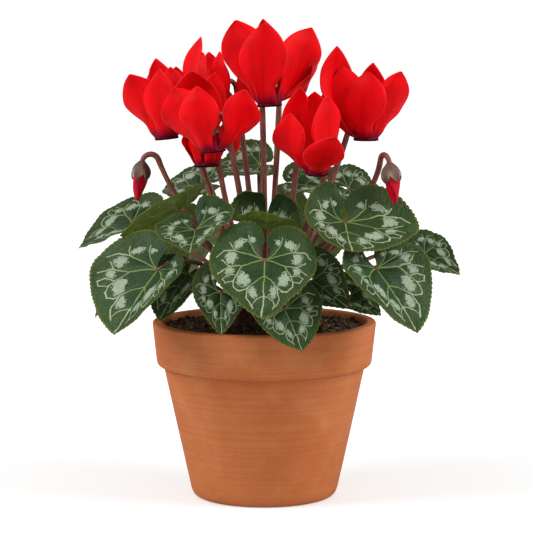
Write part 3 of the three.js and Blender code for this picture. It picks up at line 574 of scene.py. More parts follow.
# Each flower: mouth is the middle of its mouth, side the compass angle of its stalk, tilt its lean toward
# a compass angle, and sweep how far the crook turns the stalk over. A petal is its compass angle, lean from
# the axis, turn about its own length, length from the mouth, width, and where given the bow of its middle
# outwards and the pull of its tip sideways.
flowers = [
    dict(mouth=(3.5, -24, 262), side=205, tilt=3, toward=270, tier=3, petals=[
        (-19, 7, 1, 55, 33, 1, 4), (107, 23, 80, 55, 37, 2, 3.5), (-92, 9, -79, 58, 38, 0.5, -2),
        (158, 2, 16, 57, 25, 3.5, 5.5), (130, 54, 33, 42, 24, 5, -1)]),
    dict(mouth=(-33, -38, 233), side=125, tilt=6, toward=270, sweep=170, tier=2, petals=[
        (-34, 6, -14, 44, 28, 2, 1), (78, 34, 52, 42, 32, 2, -6), (-96, 19, -83, 46, 35, 1.5, 1),
        (-148, 3, 30, 54, 34, 4.5, 3), (194, 6, 11, 51, 24, 2.5, -9)]),
    dict(mouth=(-65, 5, 239), side=113, tilt=6, toward=270, sweep=164, petals=[
        (-13, 7, 40, 48, 30, 2, 6), (66, 30, 45, 46, 27), (-84, 14, -65, 47, 33, -0.5, 0.5),
        (-188, 17, 17, 56, 24, 3, 6), (159, 9, 7, 48, 27, 3.5, -0.5)]),
    dict(mouth=(67, -12, 239), side=227, sweep=166, petals=[
        (-16, 6, 11, 46, 31, 2, 4), (66, 18, 42, 48, 28, 1, 2.5), (-79, 27, -87, 47, 33, 1.5, 14),
        (-89, 7, 67, 63, 30, 6.5, 4.5), (159, 2, 26, 51, 26, 0, -3)]),
    dict(mouth=(34.2, -41, 219.3), side=136, tilt=11, tier=2, petals=[
        (-84, 23, -52, 42, 31, 4, 7), (0, 38, 15, 43, 26, 3.5, 10), (84, -6, 44, 51, 28, 0.5, 4.5),
        (-140, 13, 17, 55, 24, 5.5, -1.5), (190, 15, 13, 51, 28, 2, -2.5)]),
    dict(mouth=(20, 34, 266), side=300, tier=3, petals=[
        (-2, 6, 15, 42, 21), (58, 3, 15, 42, 21), (118, 4, 10, 42, 20), (178, 12, 10, 42, 20),
        (-118, 10, -10, 42, 20)]),
    dict(mouth=(-25, 32, 252), side=131, tilt=8, toward=258, tier=3, petals=[
        (4, 160, 0, 33, 12), (-19, 5, 35, 45, 21, 1.5, 6.5), (-86, 5, -20, 46, 24), (-150, 8, 10, 46, 22),
        (70, 38, 52, 43, 30, 2, -1)]),
    dict(mouth=(-62, 66, 248), side=55, tier=2, petals=[
        (110, 9, -10, 59, 25, -1.5, -1), (2, 12, 10, 36, 21), (-58, 20, -10, 36, 21),
        (-118, 20, -10, 38, 20), (178, 14, 10, 38, 20)]),
    dict(mouth=(-38.5, -3, 221), side=140, tilt=6, toward=200, tier=2, petals=[
        (-42, 4, 15, 32, 19), (20, 4, 15, 32, 19), (78, 8, 10, 32, 17), (-104, 4, 15, 28, 19),
        (-158, 8, -10, 32, 17)]),
    dict(mouth=(33, 6, 224), side=250, tier=2, petals=[
        (-50, 6, 15, 36, 20), (10, 8, 15, 36, 20), (70, 10, 10, 36, 20), (130, 6, 15, 36, 20),
        (190, 10, -10, 36, 20)]),
]
buds = [
    dict(name="left", mouth=(-83.7, 15, 211.2), side=90, tilt=8, toward=90, sweep=152),
    dict(name="right", mouth=(82.7, -43, 213.9), side=208, tilt=8.5, toward=270, sweep=152),
]
roots = {"tiers": (19, 14, 9, 4), "depth": 4, "spacing": 5.6}


def setRoots():
    # Each stem grows from its ring of the crown, nearest to where it goes, with room for its neighbours.
    stems = leaves + flowers + buds
    for tier, radius in enumerate(roots["tiers"]):
        members = [s for s in stems if s.get("tier", 1) == tier]
        for s in members:
            x, y = s.get("at", s.get("mouth"))[:2]
            s["bearing"] = math.degrees(math.atan2(x, -y))
        members.sort(key=lambda s: s["bearing"])
        room = math.degrees(2 * math.asin(roots["spacing"] / (2 * radius)))
        for _ in range(400):
            for k, s in enumerate(members):
                after = members[(k + 1) % len(members)]
                on = 360 if k + 1 == len(members) else 0
                push = max(room - (after["bearing"] + on - s["bearing"]), 0) / 2
                s["bearing"] -= push
                after["bearing"] += push
        for s in members:
            s["root"] = compass(s["bearing"]) * radius + up * (crownLevel - roots["depth"])


setRoots()


# The leaves

leafForm = {
    "outline": [(0, 1), (16, 0.9), (38, 0.815), (63, 0.845), (87, 0.93), (102, 0.945), (122, 0.92),
                (140, 0.85), (156, 0.75), (168, 0.6), (180, 0.36)],
    "reaches": [0, 0.1, 0.22, 0.34, 0.46, 0.57, 0.67, 0.76, 0.84, 0.9, 0.945, 0.972, 0.99, 1],
    "toothPitch": 3.7, "toothDepth": 0.75, "perTooth": 6, "waves": 5, "slit": 0.5, "eye": 0.06,
    "eyeLength": 0.36, "lobeReach": 0.69, "thickness": (0.75, 0.42), "stalkRadius": (1.75, 1.35),
    "veinSink": 0.3, "quilt": 0.4, "widest": 0.945, "fullAt": (36, 22), "plainFrom": 168,
}
# Half of a leaf's veins, in midrib lengths from the stalk: half width, then points across and towards
# the tip
leafVeins = [
    (0.0100, [(0, 0), (0, 0.5), (0, 0.96)]),
    (0.0085, [(0.02, 0.0), (0.1, 0.005), (0.23, 0.035), (0.36, 0.085), (0.47, 0.255), (0.515, 0.345),
              (0.505, 0.44), (0.43, 0.525), (0.33, 0.51), (0.25, 0.46)]),
    (0.0080, [(0, 0.275), (0.143, 0.346), (0.253, 0.46), (0.285, 0.654), (0.247, 0.72), (0.17, 0.82)]),
    (0.0062, [(0, 0.63), (0.08, 0.64), (0.16, 0.70), (0.19, 0.77)]),
    (0.0072, [(0.36, 0.085), (0.584, 0.09), (0.753, 0.2)]),
    (0.0058, [(0.584, 0.09), (0.725, -0.02)]),
    (0.0055, [(0.47, 0.255), (0.6, 0.235), (0.69, 0.29), (0.64, 0.36), (0.515, 0.345)]),
    (0.0085, [(0.03, -0.02), (0.25, -0.12), (0.5, -0.2), (0.71, -0.19), (0.82, -0.1)]),
    (0.0062, [(0.5, -0.2), (0.55, -0.25), (0.6, -0.36)]),
    (0.0075, [(0.03, -0.03), (0.15, -0.16), (0.268, -0.333), (0.29, -0.44)]),
]
# Half of a leaf's silver patches: middle, half sizes across and along, and turn in degrees
silverPatches = [
    ((0.435, -0.32), (0.118, 0.076), 32),
    ((0.565, -0.07), (0.095, 0.125), 10),
    ((0.575, 0.17), (0.068, 0.088), 25),
    ((0.345, 0.33), (0.1, 0.15), 38),
    ((0.185, 0.55), (0.068, 0.12), 24),
    ((0.215, -0.35), (0.062, 0.052), 0),
]


# The noise that warps a leaf's marks, as scale and amount, and the scales of its net and ragged patches
leafMarks = {"warp": (2.6, 0.1), "wiggle": (15.0, 0.035), "net": 21.0, "jags": 44.0, "rags": 9.0}


def veinDistance(across, ahead):
    # The least distance from each point to the veins' straight stretches, less each vein's half width.
    place = np.stack([np.abs(across), ahead], -1)
    least = np.full(across.shape, 9.0)
    for width, points in leafVeins:
        for a, b in zip(np.array(points[:-1]), np.array(points[1:])):
            share = np.clip((place - a) @ (b - a) / ((b - a) @ (b - a)), 0, 1)
            least = np.minimum(least, np.linalg.norm(place - a - share[..., None] * (b - a), axis=-1)
                               - width)
    return least


def leafFrame(leaf):
    start, chord = np.array(leaf["at"], float), np.array(leaf["tip"], float) - leaf["at"]
    half = math.radians(leaf["droop"]) / 2
    length = np.linalg.norm(chord) * half / math.sin(half)
    chord = unit(chord)
    sky = up + 0.3 * unit(np.array([leaf["at"][0], leaf["at"][1], 0.0]))
    normal = turned(unit(sky - (sky @ chord) * chord), chord, leaf["roll"])
    right = np.cross(chord, normal)
    ahead, above = (turned(v, right, math.degrees(half)) for v in (chord, normal))
    return start, length, right, ahead, above


def leafPoints(leaf, angle, reach, tooth=0.0):
    # Heart: each half's outline is a run of radius against angle from the tip, made as wide as the leaf.
    # The halves rise by fold and cup, the tip bends by droop, and the basal lobes bend by lobes. An eye
    # opens at the stalk between the lobes, and waves run along the margin.
    start, length, right, ahead, above = leafFrame(leaf)
    half = leaf["width"] / 2
    middle, width = leafForm["fullAt"]
    fuller = leaf["full"] * np.exp(-(((np.abs(angle) - middle) / width)**2))
    outline = along(leafForm["outline"], np.abs(angle)) + fuller
    turn = np.radians(angle)
    radius = reach * length * outline
    side = np.where(angle < 0, -1.0, 1.0)
    level = (radius - tooth) * np.cos(turn)
    y = np.where(level < 0, level * leaf["deep"] * (1 - side * leaf["skew"]), level)
    x = np.abs((radius - tooth) * np.sin(turn)) * half / (leafForm["widest"] * length)
    x = x * (1 + side * leaf["uneven"])
    back = np.maximum(-y / length, 0)
    eye = np.where(back < leafForm["eyeLength"], np.sin(math.pi * back / leafForm["eyeLength"]), 0)
    gap = leafForm["eye"] * length * eye + leafForm["slit"] * np.minimum(back / 0.08, 1)
    x = x + gap * np.exp(-x / (0.15 * length))
    fold = math.radians(leaf["fold"])
    bend = np.maximum(math.radians(leaf["cup"]) * x / half, 1e-4)
    across = x * (np.sin(fold + bend) - math.sin(fold)) / bend
    wave = leaf["wave"] * reach**3 * np.sin(leafForm["waves"] * turn + leaf["at"][0])
    wave = wave + 0.5 * leaf["wave"] * reach**4 * np.sin(11 * turn + leaf["at"][1])
    lift = x * (math.cos(fold) - np.cos(fold + bend)) / bend + wave
    curl = np.where(y > 0, math.radians(leaf["droop"]) * y / length,
                    math.radians(leaf["lobes"]) * back / leafForm["lobeReach"])
    safe = np.where(np.abs(curl) < 1e-4, 1e-4, curl)
    forward = y * np.sin(safe) / safe + lift * np.sin(curl)
    height = -y * (1 - np.cos(safe)) / safe + lift * np.cos(curl)
    points = start + right * (side * across)[..., None] + ahead * forward[..., None]
    points = points + above * height[..., None]
    pattern = np.stack([np.sin(turn) * outline * reach, np.cos(turn) * outline * reach], -1)
    return points, pattern


def marginAngles(leaf):
    # Angles that space the margin's points evenly, a whole number of teeth on each half.
    halves = []
    for start, end in ((-180, 0), (0, 180)):
        fine = np.linspace(start, end, 400)
        edge, _ = leafPoints(leaf, fine, np.ones_like(fine))
        length = runLength(edge)
        teeth = round(length[-1] / leafForm["toothPitch"])
        count = teeth * leafForm["perTooth"]
        halves.append((np.interp(np.linspace(0, length[-1], count + 1), length, fine), teeth))
    return halves


def makeLeaf(number, leaf):
    (left, leftTeeth), (right, rightTeeth) = marginAngles(leaf)
    phase = np.concatenate([np.linspace(-leftTeeth, 0, len(left)),
                            np.linspace(0, rightTeeth, len(right))[1:]])
    margin = np.concatenate([left, right[1:]])
    crown = np.abs(np.cos(math.pi * phase))**0.6  # 1 at a tooth's top, 0 in the notch
    crown = np.where(np.abs(margin) > leafForm["plainFrom"], 1, crown)
    reach, angle = np.meshgrid(leafForm["reaches"], margin, indexing="ij")
    tooth = leafForm["toothDepth"] * (1 - crown) * reach**12
    grid, pattern = leafPoints(leaf, angle, reach, tooth)
    away = veinDistance(pattern[..., 0], pattern[..., 1])
    relief = leafForm["quilt"] * (1 - np.exp(-(np.maximum(away, 0) / 0.07)**2))
    relief = (relief - leafForm["veinSink"] * np.exp(-(np.maximum(away, 0) / 0.02)**2)) * (1 - reach**8)
    relief = relief + 0.35 * bumps(grid, 16, 40 + number, 2) * reach
    inner, outer = leafForm["thickness"]
    thick = inner + (outer - inner) * reach**2
    points, front, back = shell(grid, thick, relief)
    both = np.vstack([pattern.reshape(-1, 2)] * 2)
    foot, end = leaf["root"], np.array(leaf["at"], float)
    outward = unit((end - foot) * (1, 1, 0))
    span = np.linalg.norm(end - foot)
    rise = math.radians(leaf["rise"])
    arrive = outward * math.cos(rise) + up * math.sin(rise)
    leave = unit(outward * 0.5 + up)
    share = np.linspace(0, 1, 22)
    path = bezier(foot, foot + leave * 0.4 * span, end - arrive * 0.4 * span, end + arrive * 0.2, share)
    wide, narrow = leafForm["stalkRadius"]
    radius = wide + (narrow - wide) * share
    ring, around, lengths = tube(path, radius, 10, np.cross(outward, up))
    stalkPoints = ring.reshape(-1, 3)
    seed = np.full(len(points) + len(stalkPoints), number * 7.31)
    still = np.zeros(len(stalkPoints))
    addPiece(f"leaf_blade_{number:02d}", [
        {"points": points, "quads": np.vstack([front, back]), "map": both,
         "look": np.repeat([0, 1], [len(front), len(back)])},
        {"points": stalkPoints, "quads": around, "map": lengths, "look": 2},
    ], [leafTop, leafUnder, petioleSkin], [f"leaf_{number:02d}"], {
        "leafSeed": seed,
        "leafReach": np.concatenate([np.tile(reach.ravel(), 2), still]),
        "leafTooth": np.concatenate([np.tile(np.broadcast_to(crown, reach.shape).ravel(), 2), still]),
    })


def leafMarksGroup():
    # From a leaf's own map: its veins, how pale they are, its silver patches, the fine net between the
    # veins and the height of its surface. The map is folded along the midrib after a slight random warp.
    t, given, out = newGroup(
        "leaf marks", {"Map": "Vector", "Seed": "Float"},
        {"Veins": "Float", "Silver": "Float", "Net": "Float", "Far": "Float", "Cloud": "Float",
         "Height": "Float"})
    parts = node(t, "SeparateXYZ", {0: given["Map"]})
    own = node(t, "CombineXYZ", {0: parts.outputs[0], 1: parts.outputs[1], 2: given["Seed"]}).outputs[0]
    warp = vectorCalc(t, "SUBTRACT", noise(t, own, leafMarks["warp"][0], 1.0, colour=True),
                      (0.5, 0.5, 0.5))
    wiggle = vectorCalc(t, "SUBTRACT", noise(t, own, leafMarks["wiggle"][0], 1.0, colour=True),
                        (0.5, 0.5, 0.5))
    flat = node(t, "CombineXYZ", {0: parts.outputs[0], 1: parts.outputs[1]}).outputs[0]
    length = vectorCalc(t, "LENGTH", flat)
    hold = spread(t, length, 0.05, 0.5)
    moved = vectorCalc(t, "ADD", flat, vectorCalc(t, "SCALE", warp,
                                                  scale=calc(t, "MULTIPLY", hold, leafMarks["warp"][1])))
    moved = vectorCalc(t, "ADD", moved,
                       vectorCalc(t, "SCALE", wiggle, scale=calc(t, "MULTIPLY", hold,
                                                                 leafMarks["wiggle"][1])))
    folded = vectorCalc(t, "MULTIPLY", vectorCalc(t, "ABSOLUTE", moved), (1, 0, 0))
    folded = vectorCalc(t, "ADD", folded, vectorCalc(t, "MULTIPLY", moved, (0, 1, 0)))
    least = None
    for width, points in leafVeins:
        for a, b in zip(points[:-1], points[1:]):
            run = np.array(b, float) - a
            fromStart = vectorCalc(t, "SUBTRACT", folded, (*a, 0))
            share = vectorCalc(t, "DOT_PRODUCT", fromStart, (*(run / (run @ run)), 0))
            share = node(t, "Clamp", {0: share}).outputs[0]
            foot = vectorCalc(t, "SCALE", (*run, 0), scale=share)
            away = vectorCalc(t, "DISTANCE", fromStart, foot)
            away = calc(t, "SUBTRACT", away, width)
            least = away if least is None else calc(t, "MINIMUM", least, away)
    t.links.new(spread(t, least, -0.004, 0.006, 1.0, 0.0), out["Veins"])
    net = cells(t, own, leafMarks["net"], "DISTANCE_TO_EDGE")
    t.links.new(spread(t, net, 0.0, 0.13, 1.0, 0.0), out["Net"])
    fineNet = node(t, "TexVoronoi", {"Vector": own, "Scale": leafMarks["jags"]})
    jag = node(t, "SeparateColor", {0: fineNet.outputs["Color"]}).outputs[0]
    nearest = None
    for middle, halves, turn in silverPatches:
        local = node(t, "Mapping", {
            "Vector": folded, "Location": (*middle, 0), "Rotation": (0, 0, math.radians(turn)),
            "Scale": (*halves, 1)}, vector_type="TEXTURE").outputs[0]
        reach = vectorCalc(t, "LENGTH", local)
        nearest = reach if nearest is None else calc(t, "MINIMUM", nearest, reach)
    ragged = calc(t, "ADD", nearest, spread(t, jag, 0.0, 1.0, -0.24, 0.34, smooth=False))
    ragged = calc(t, "ADD", ragged,
                  spread(t, noise(t, own, leafMarks["rags"], 2.0), 0.0, 1.0, -0.4, 0.4, smooth=False))
    keepOff = spread(t, least, 0.004, 0.022)
    silver = calc(t, "MULTIPLY", spread(t, ragged, 0.84, 1.1, 1.0, 0.0), keepOff)
    t.links.new(silver, out["Silver"])
    t.links.new(spread(t, length, 0.3, 0.7), out["Far"])
    t.links.new(spread(t, noise(t, own, 3.0, 3.0), 0.3, 0.7), out["Cloud"])
    swell = spread(t, least, 0.0, 0.09)
    quilt = calc(t, "MULTIPLY", spread(t, net, 0.0, 0.4), spread(t, length, 0.45, 0.75, 0.15, 1.0))
    grain = noise(t, own, 60.0, 2.0)
    t.links.new(calc(t, "ADD", calc(t, "ADD", swell, quilt), calc(t, "MULTIPLY", grain, 0.25)),
                out["Height"])
    return t


leafTints = {
    # outer, the lighter zone away from the stalk, is partly the leaf's own tone and partly painted sheen
    "middle": (42, 64, 36), "outer": (60, 82, 44), "shade": (14, 36, 4), "silver": (158, 174, 150),
    "veinNear": (122, 144, 78), "veinFar": (176, 188, 152), "rim": (92, 108, 30), "tooth": (140, 92, 38),
    "heart": (120, 52, 36), "under": (104, 134, 14), "underDeep": (74, 102, 8),
    "net": (88, 112, 70), "underVein": (150, 160, 88), "underNet": (128, 142, 72),
}
stalkTints = {
    "leaf": ((122, 66, 50), (92, 44, 36), (150, 120, 70)),
    "flower": ((150, 80, 60), (104, 46, 36), (178, 124, 98)),
}


def leafMaterials():
    marksGroup = leafMarksGroup()

    def start(name, **constants):
        material, tree, shader = newMaterial(name, **constants)
        place = node(tree, "UVMap", uv_map="pattern").outputs[0]
        values = {key: node(tree, "Attribute", attribute_name=key).outputs["Fac"]
                  for key in ("leafSeed", "leafReach", "leafTooth")}
        marks = use(tree, marksGroup, Map=place, Seed=values["leafSeed"])
        return material, tree, shader, place, values, marks

    # The upper face: grey-green in the middle, greener and lighter outside, which is partly its own tone
    # and partly painted sheen, silver patches, pale veins, and a yellow-green rim whose teeth are tipped
    # with brown.
    top, tree, shader, place, values, marks = start("leaf upper face")
    shader.inputs["Specular IOR Level"].default_value = 0.14
    # lighter outer zone: partly the leaf's own tone, partly painted sheen
    colour = blend(tree, marks["Far"], tint(*leafTints["middle"]), tint(*leafTints["outer"]))
    colour = blend(tree, calc(tree, "MULTIPLY", marks["Cloud"], 0.45), colour, tint(*leafTints["shade"]))
    colour = blend(tree, calc(tree, "MULTIPLY", marks["Net"], 0.2), colour, tint(*leafTints["net"]))
    netted = calc(tree, "SUBTRACT", 1.0, calc(tree, "MULTIPLY", marks["Net"], 0.35))
    colour = blend(tree, calc(tree, "MULTIPLY", marks["Silver"], netted), colour,
                   tint(*leafTints["silver"]))
    vein = blend(tree, marks["Far"], tint(*leafTints["veinNear"]), tint(*leafTints["veinFar"]))
    colour = blend(tree, calc(tree, "MULTIPLY", marks["Veins"], 0.92), colour, vein)
    length = vectorCalc(tree, "LENGTH", place)
    colour = blend(tree, spread(tree, length, 0.0, 0.06, 0.9, 0.0), colour, tint(*leafTints["heart"]))
    rim = calc(tree, "MULTIPLY", spread(tree, values["leafReach"], 0.955, 0.995), 0.85)
    colour = blend(tree, rim, colour, tint(*leafTints["rim"]))
    toothTip = calc(tree, "MULTIPLY", spread(tree, values["leafReach"], 0.975, 1.0),
                    spread(tree, values["leafTooth"], 0.75, 1.0, 0.0, 0.7))
    colour = blend(tree, toothTip, colour, tint(*leafTints["tooth"]))
    rough = spread(tree, marks["Silver"], 0.0, 1.0, 0.42, 0.55)
    finishWith(tree, shader, colour, rough, marks["Height"], 0.0007, 0.7)

    # The lower face: plain olive green with the veins standing out paler.
    under, tree, shader, place, values, marks = start("leaf lower face")
    colour = blend(tree, marks["Cloud"], tint(*leafTints["under"]), tint(*leafTints["underDeep"]))
    colour = blend(tree, calc(tree, "MULTIPLY", marks["Veins"], 0.7), colour,
                   tint(*leafTints["underVein"]))
    colour = blend(tree, calc(tree, "MULTIPLY", marks["Net"], 0.25), colour, tint(*leafTints["underNet"]))
    rim = calc(tree, "MULTIPLY", spread(tree, values["leafReach"], 0.95, 0.995), 0.85)
    colour = blend(tree, rim, colour, tint(*leafTints["rim"]))
    height = calc(tree, "ADD", marks["Veins"], calc(tree, "MULTIPLY", marks["Net"], 0.4))
    finishWith(tree, shader, colour, 0.5, height, 0.0005, 0.8)

    petiole = stalkMaterial("leaf stalk", *stalkTints["leaf"])
    return top, under, petiole


def stalkMaterial(name, base, deep, pale):
    # Colour and bump: fine streaks that run along the stalk, over slow changes of tone.
    material, tree, shader = newMaterial(name)
    place = node(tree, "UVMap", uv_map="pattern").outputs[0]
    spot = node(tree, "TexCoord").outputs["Object"]
    lines = use(tree, fibres, Map=place, Across=26.0, Along=2.2)
    colour = blend(tree, lines["Streaks"], tint(*base), tint(*deep))
    colour = blend(tree, spread(tree, lines["Lines"], 0.5, 0.75, 0.0, 0.6), colour, tint(*pale))
    cloud = use(tree, mottle, Place=spot, Size=45.0, Grain=1500.0)
    colour = blend(tree, calc(tree, "MULTIPLY", cloud["Cloud"], 0.35), colour, tint(*deep))
    height = calc(tree, "ADD", lines["Lines"], calc(tree, "MULTIPLY", cloud["Speck"], 0.3))
    finishWith(tree, shader, colour, 0.5, height, 0.0003, 0.7)
    return material


leafTop, leafUnder, petioleSkin = leafMaterials()
for k, leaf in enumerate(leaves):
    makeLeaf(k + 1, leaf)
print("leaves:", len(leaves))


# The flowers

flowerForm = {
    "outline": [(0, 0.36), (0.17, 0.42), (0.24, 0.52), (0.31, 0.68), (0.4, 0.86), (0.5, 0.97), (0.58, 1),
                (0.68, 0.93), (0.78, 0.77), (0.88, 0.5), (0.95, 0.25), (1, 0.03)],
    "mouthRadius": 7.8, "petalFoot": 2.6, "tubeHeight": 12, "tubeTopRadius": 4, "mouthDepth": 5,
    "hollow": 0.15, "footHollow": 0.4, "plain": (2, 0), "crookRadius": 5.6, "calyxHeight": 7,
    "calyxRadius": 5.2, "thickness": (0.8, 0.45), "rows": 30, "columns": 17, "ruffle": 0.55,
    "stalkRadius": (2.15, 1.65), "tubeSides": 60, "stalkSides": 14,
}
budForm = {
    "outline": [(0, 0.02), (0.05, 0.26), (0.2, 0.56), (0.42, 0.86), (0.65, 1.02), (0.85, 1.12),
                (0.95, 0.98),
                (1, 0.5)],
    "radius": 4.6, "point": 14.5, "head": 7, "collar": 12.5, "calyxHeight": 13, "calyxRadius": 6,
    "rolls": 3, "slant": 0.22, "rows": 40, "sides": 66,
}
# A calyx: its lobes, the run of its radius from the stalk, how thick it is and its grid
calyxForm = {
    "lobes": 5, "outline": [(0, 0.3), (0.08, 0.45), (0.25, 0.78), (0.5, 1), (0.8, 1.0)], "tip": 0.9,
    "thickness": 0.7, "columns": 61, "rows": 14,
}


def flowerFrame(flower):
    tilt = math.radians(flower.get("tilt", 0))
    axis = up * math.cos(tilt) + compass(flower.get("toward", 0)) * math.sin(tilt)
    side = compass(flower["side"])
    side = unit(side - (side @ axis) * axis)
    return np.array(flower["mouth"], float), axis, side


def fromFrame(points, flower):  # points given across the axis, side first, and along it
    origin, axis, side = flowerFrame(flower)
    x, y, z = points[..., :1], points[..., 1:2], points[..., 2:]
    return origin + x * side + y * np.cross(axis, side) + z * axis


def petalGrid(petal, flower, seed):
    # The middle line comes out from inside the mouth, round its edge and up, leaning away from the
    # axis. The outline gives the half width at each share of it. Both edges curve in towards the axis,
    # the whole turns about its own length on the way up, and small ruffles run along the margins.
    given = petal if len(petal) == 7 else (*petal, *flowerForm["plain"])
    angle, lean, turn, length, width, bow, skew = given
    origin, axis, _ = flowerFrame(flower)
    radial = compass(angle)
    radial = unit(radial - (radial @ axis) * axis)
    tangent = np.cross(axis, radial)
    tilt = math.radians(lean)
    outward = radial * math.cos(tilt) - axis * math.sin(tilt)
    height = length - flowerForm["petalFoot"]
    share = np.linspace(0, 1, flowerForm["rows"])[:, None]**0.92
    across = np.linspace(-1, 1, flowerForm["columns"])[None, :]
    run = -flowerForm["petalFoot"] + share * length
    above = np.maximum(run, 0)
    radius = flowerForm["mouthRadius"] + 1 - 0.8 * np.exp(-run / 4) + above * math.sin(tilt)
    lift = flowerForm["petalFoot"] + np.where(run > 0, run * math.cos(tilt), run)
    lip = np.exp(-share * length / 1.1)
    radius, lift = radius - 1.1 * lip, lift + 1.2 * lip
    done = np.clip(above / height, 0, 1)
    twist = np.radians(turn) * (0.4 + 0.6 * done) * ease(0, 0.12, share)
    half = width / 2 * along(flowerForm["outline"], done)
    draw = np.random.default_rng(seed)
    phase = draw.uniform(0, 6.28, 4)
    coarse, fine = np.sin(9 * done + phase[0] + 1.5 * across), np.sin(17 * done + phase[1])
    ruffle = np.abs(across)**3 * (coarse + 0.6 * fine)
    ruffle = ruffle * flowerForm["ruffle"] * ease(0.1, 0.5, done)
    belly = 0.8 * np.sin(math.pi * done) * np.cos(2.5 * across + phase[2]) * ease(0.05, 0.4, done)
    curl = -1.6 * ease(0.75, 1, done) * np.sign(draw.uniform(-0.4, 1))
    sideways = tangent * np.cos(twist)[..., None] + outward * np.sin(twist)[..., None]
    facing = outward * np.cos(twist)[..., None] - tangent * np.sin(twist)[..., None]
    centre = origin + radial * radius[..., None] + axis * lift[..., None]
    centre = centre + outward * (bow * 4 * done * (1 - done))[..., None]
    hollow, footHollow = flowerForm["hollow"], flowerForm["footHollow"]
    hollow = hollow + (footHollow - hollow) * (1 - ease(0.1, 0.4, done))
    depth = ruffle + belly + curl - hollow * half * across**2
    sideStep = half * across + skew * done**2
    points = centre + sideways * sideStep[..., None] + facing * depth[..., None]
    pattern = np.stack(np.broadcast_arrays(across * 0.5 + 0.5, share), -1)
    return points, pattern


def makeFlower(number, flower):
    patches, seeds = [], []
    inner, outer = flowerForm["thickness"]
    for k, petal in enumerate(flower["petals"]):
        grid, pattern = petalGrid(petal, flower, 100 * number + k)
        share = pattern[..., 1]
        across = np.abs(pattern[..., 0] * 2 - 1)
        points, front, back = shell(grid, inner + (outer - inner) * np.maximum(share, across**3))
        patches.append({"points": points, "quads": np.vstack([front, back]),
                        "map": np.vstack([pattern.reshape(-1, 2)] * 2)})
        seeds.append(np.full(len(points), number * 3.7 + k * 1.3))
    mouth, top = flowerForm["mouthRadius"], flowerForm["tubeHeight"]
    inside, neck = flowerForm["mouthDepth"], flowerForm["tubeTopRadius"]
    profile = [
        (0, inside), (0.5 * mouth, 0.62 * inside), (mouth - 1.5, 0.9), (mouth - 0.9, 0.15),
        (mouth - 0.2, 0.0),
        (mouth + 0.3, 0.5), (mouth + 0.1, 1.6), (mouth - 0.9, 4), (mouth - 2.4, 7.5),
        (neck + 0.3, top - 1.5),
        (neck, top), (0, top),
    ]
    grid, quads, around = turnedBody(
        profile, flowerForm["tubeSides"], lambda r, a, z: (r * (1 + 0.035 * np.cos(10 * a)), z))
    # the tube takes the petals' foot colours: near-black painted shade for its lowest few millimetres, then
    # the crimson-purple foot
    around[..., 0], around[..., 1] = 0.5, np.clip(grid[..., 2] / 60, 0, 1)
    patches.append({"points": fromFrame(grid, flower), "quads": quads, "map": around})
    seeds.append(np.full(grid.size // 3, number * 3.7))
    addPiece(f"corolla_{number:02d}", patches, [petalSkin], [f"bloom_{number:02d}"],
             {"petalSeed": np.concatenate(seeds)})


def stalkPath(flower, collar):
    # From the root up to the crook, which turns it over by the sweep and down into the calyx.
    origin, axis, side = flowerFrame(flower)
    root, r = flower["root"], flowerForm["crookRadius"]
    top = origin + axis * collar
    sweep = math.radians(flower.get("sweep", 180))
    angle = np.linspace(math.pi - sweep, math.pi, 18)[:, None]
    crook = top + side * r + side * r * np.cos(angle) + axis * r * np.sin(angle)
    climb = axis * math.cos(angle[0, 0]) - side * math.sin(angle[0, 0])
    way = crook[0] - root
    span = np.linalg.norm(way)
    leave = unit(unit(way) + up)
    rising = bezier(root, root + leave * 0.3 * span, crook[0] - climb * 0.3 * span, crook[0],
                    np.linspace(0, 1, 26))
    return np.vstack([rising, crook[1:], (top - axis * 2)[None]]), np.cross(side, axis)


def makeStalk(name, flower, collar, calyx, cadNode):
    path, plane = stalkPath(flower, collar)
    share = np.linspace(0, 1, len(path))
    wide, narrow = flowerForm["stalkRadius"]
    radius = wide + (narrow - wide) * share + 0.12 * bumps(path, 30, 200 + int(flower["mouth"][0]), 2)
    ring, quads, around = tube(path, radius, flowerForm["stalkSides"], plane)
    patches = [{"points": ring, "quads": quads, "map": around, "look": 0}, calyx]
    addPiece(name, patches, [stalkSkin, calyxSkin], [cadNode])


def calyxPatch(flower, height, radius, top, cleft, flare):
    # Pointed lobes: their lower edge rises from each point to the notch beside it, as high as cleft says.
    # The wall is a shell whose radius grows from the stalk, and each lobe is a little raised along its
    # middle. flare opens or closes the points.
    count = calyxForm["lobes"]
    a = np.linspace(0, 2 * math.pi, calyxForm["columns"])[None, :]
    s = np.linspace(0, 1, calyxForm["rows"])[:, None]
    point = 1 - np.abs((a * count / (2 * math.pi)) % 1 - 0.5) * 2
    low = top - height * (1 - cleft) - height * cleft * point**0.8
    z = top - (top - low) * s
    depth = (top - z) / height
    r = along(calyxForm["outline"] + [(1, calyxForm["tip"] + flare)], depth) * radius
    r = r + 0.35 * np.cos(count * a + math.pi) * -ease(0.1, 0.5, depth) + 0.12 * np.cos(5 * count * a)
    grid = np.stack([r * np.cos(a), r * np.sin(a), z], -1)
    points, front, back = shell(grid[:, ::-1], calyxForm["thickness"])
    pattern = np.stack(np.broadcast_arrays(a[:, ::-1] / (2 * math.pi) * count, depth), -1).reshape(-1, 2)
    return {"points": fromFrame(points, flower), "quads": np.vstack([front, back]),
            "map": np.vstack([pattern] * 2), "look": 1}


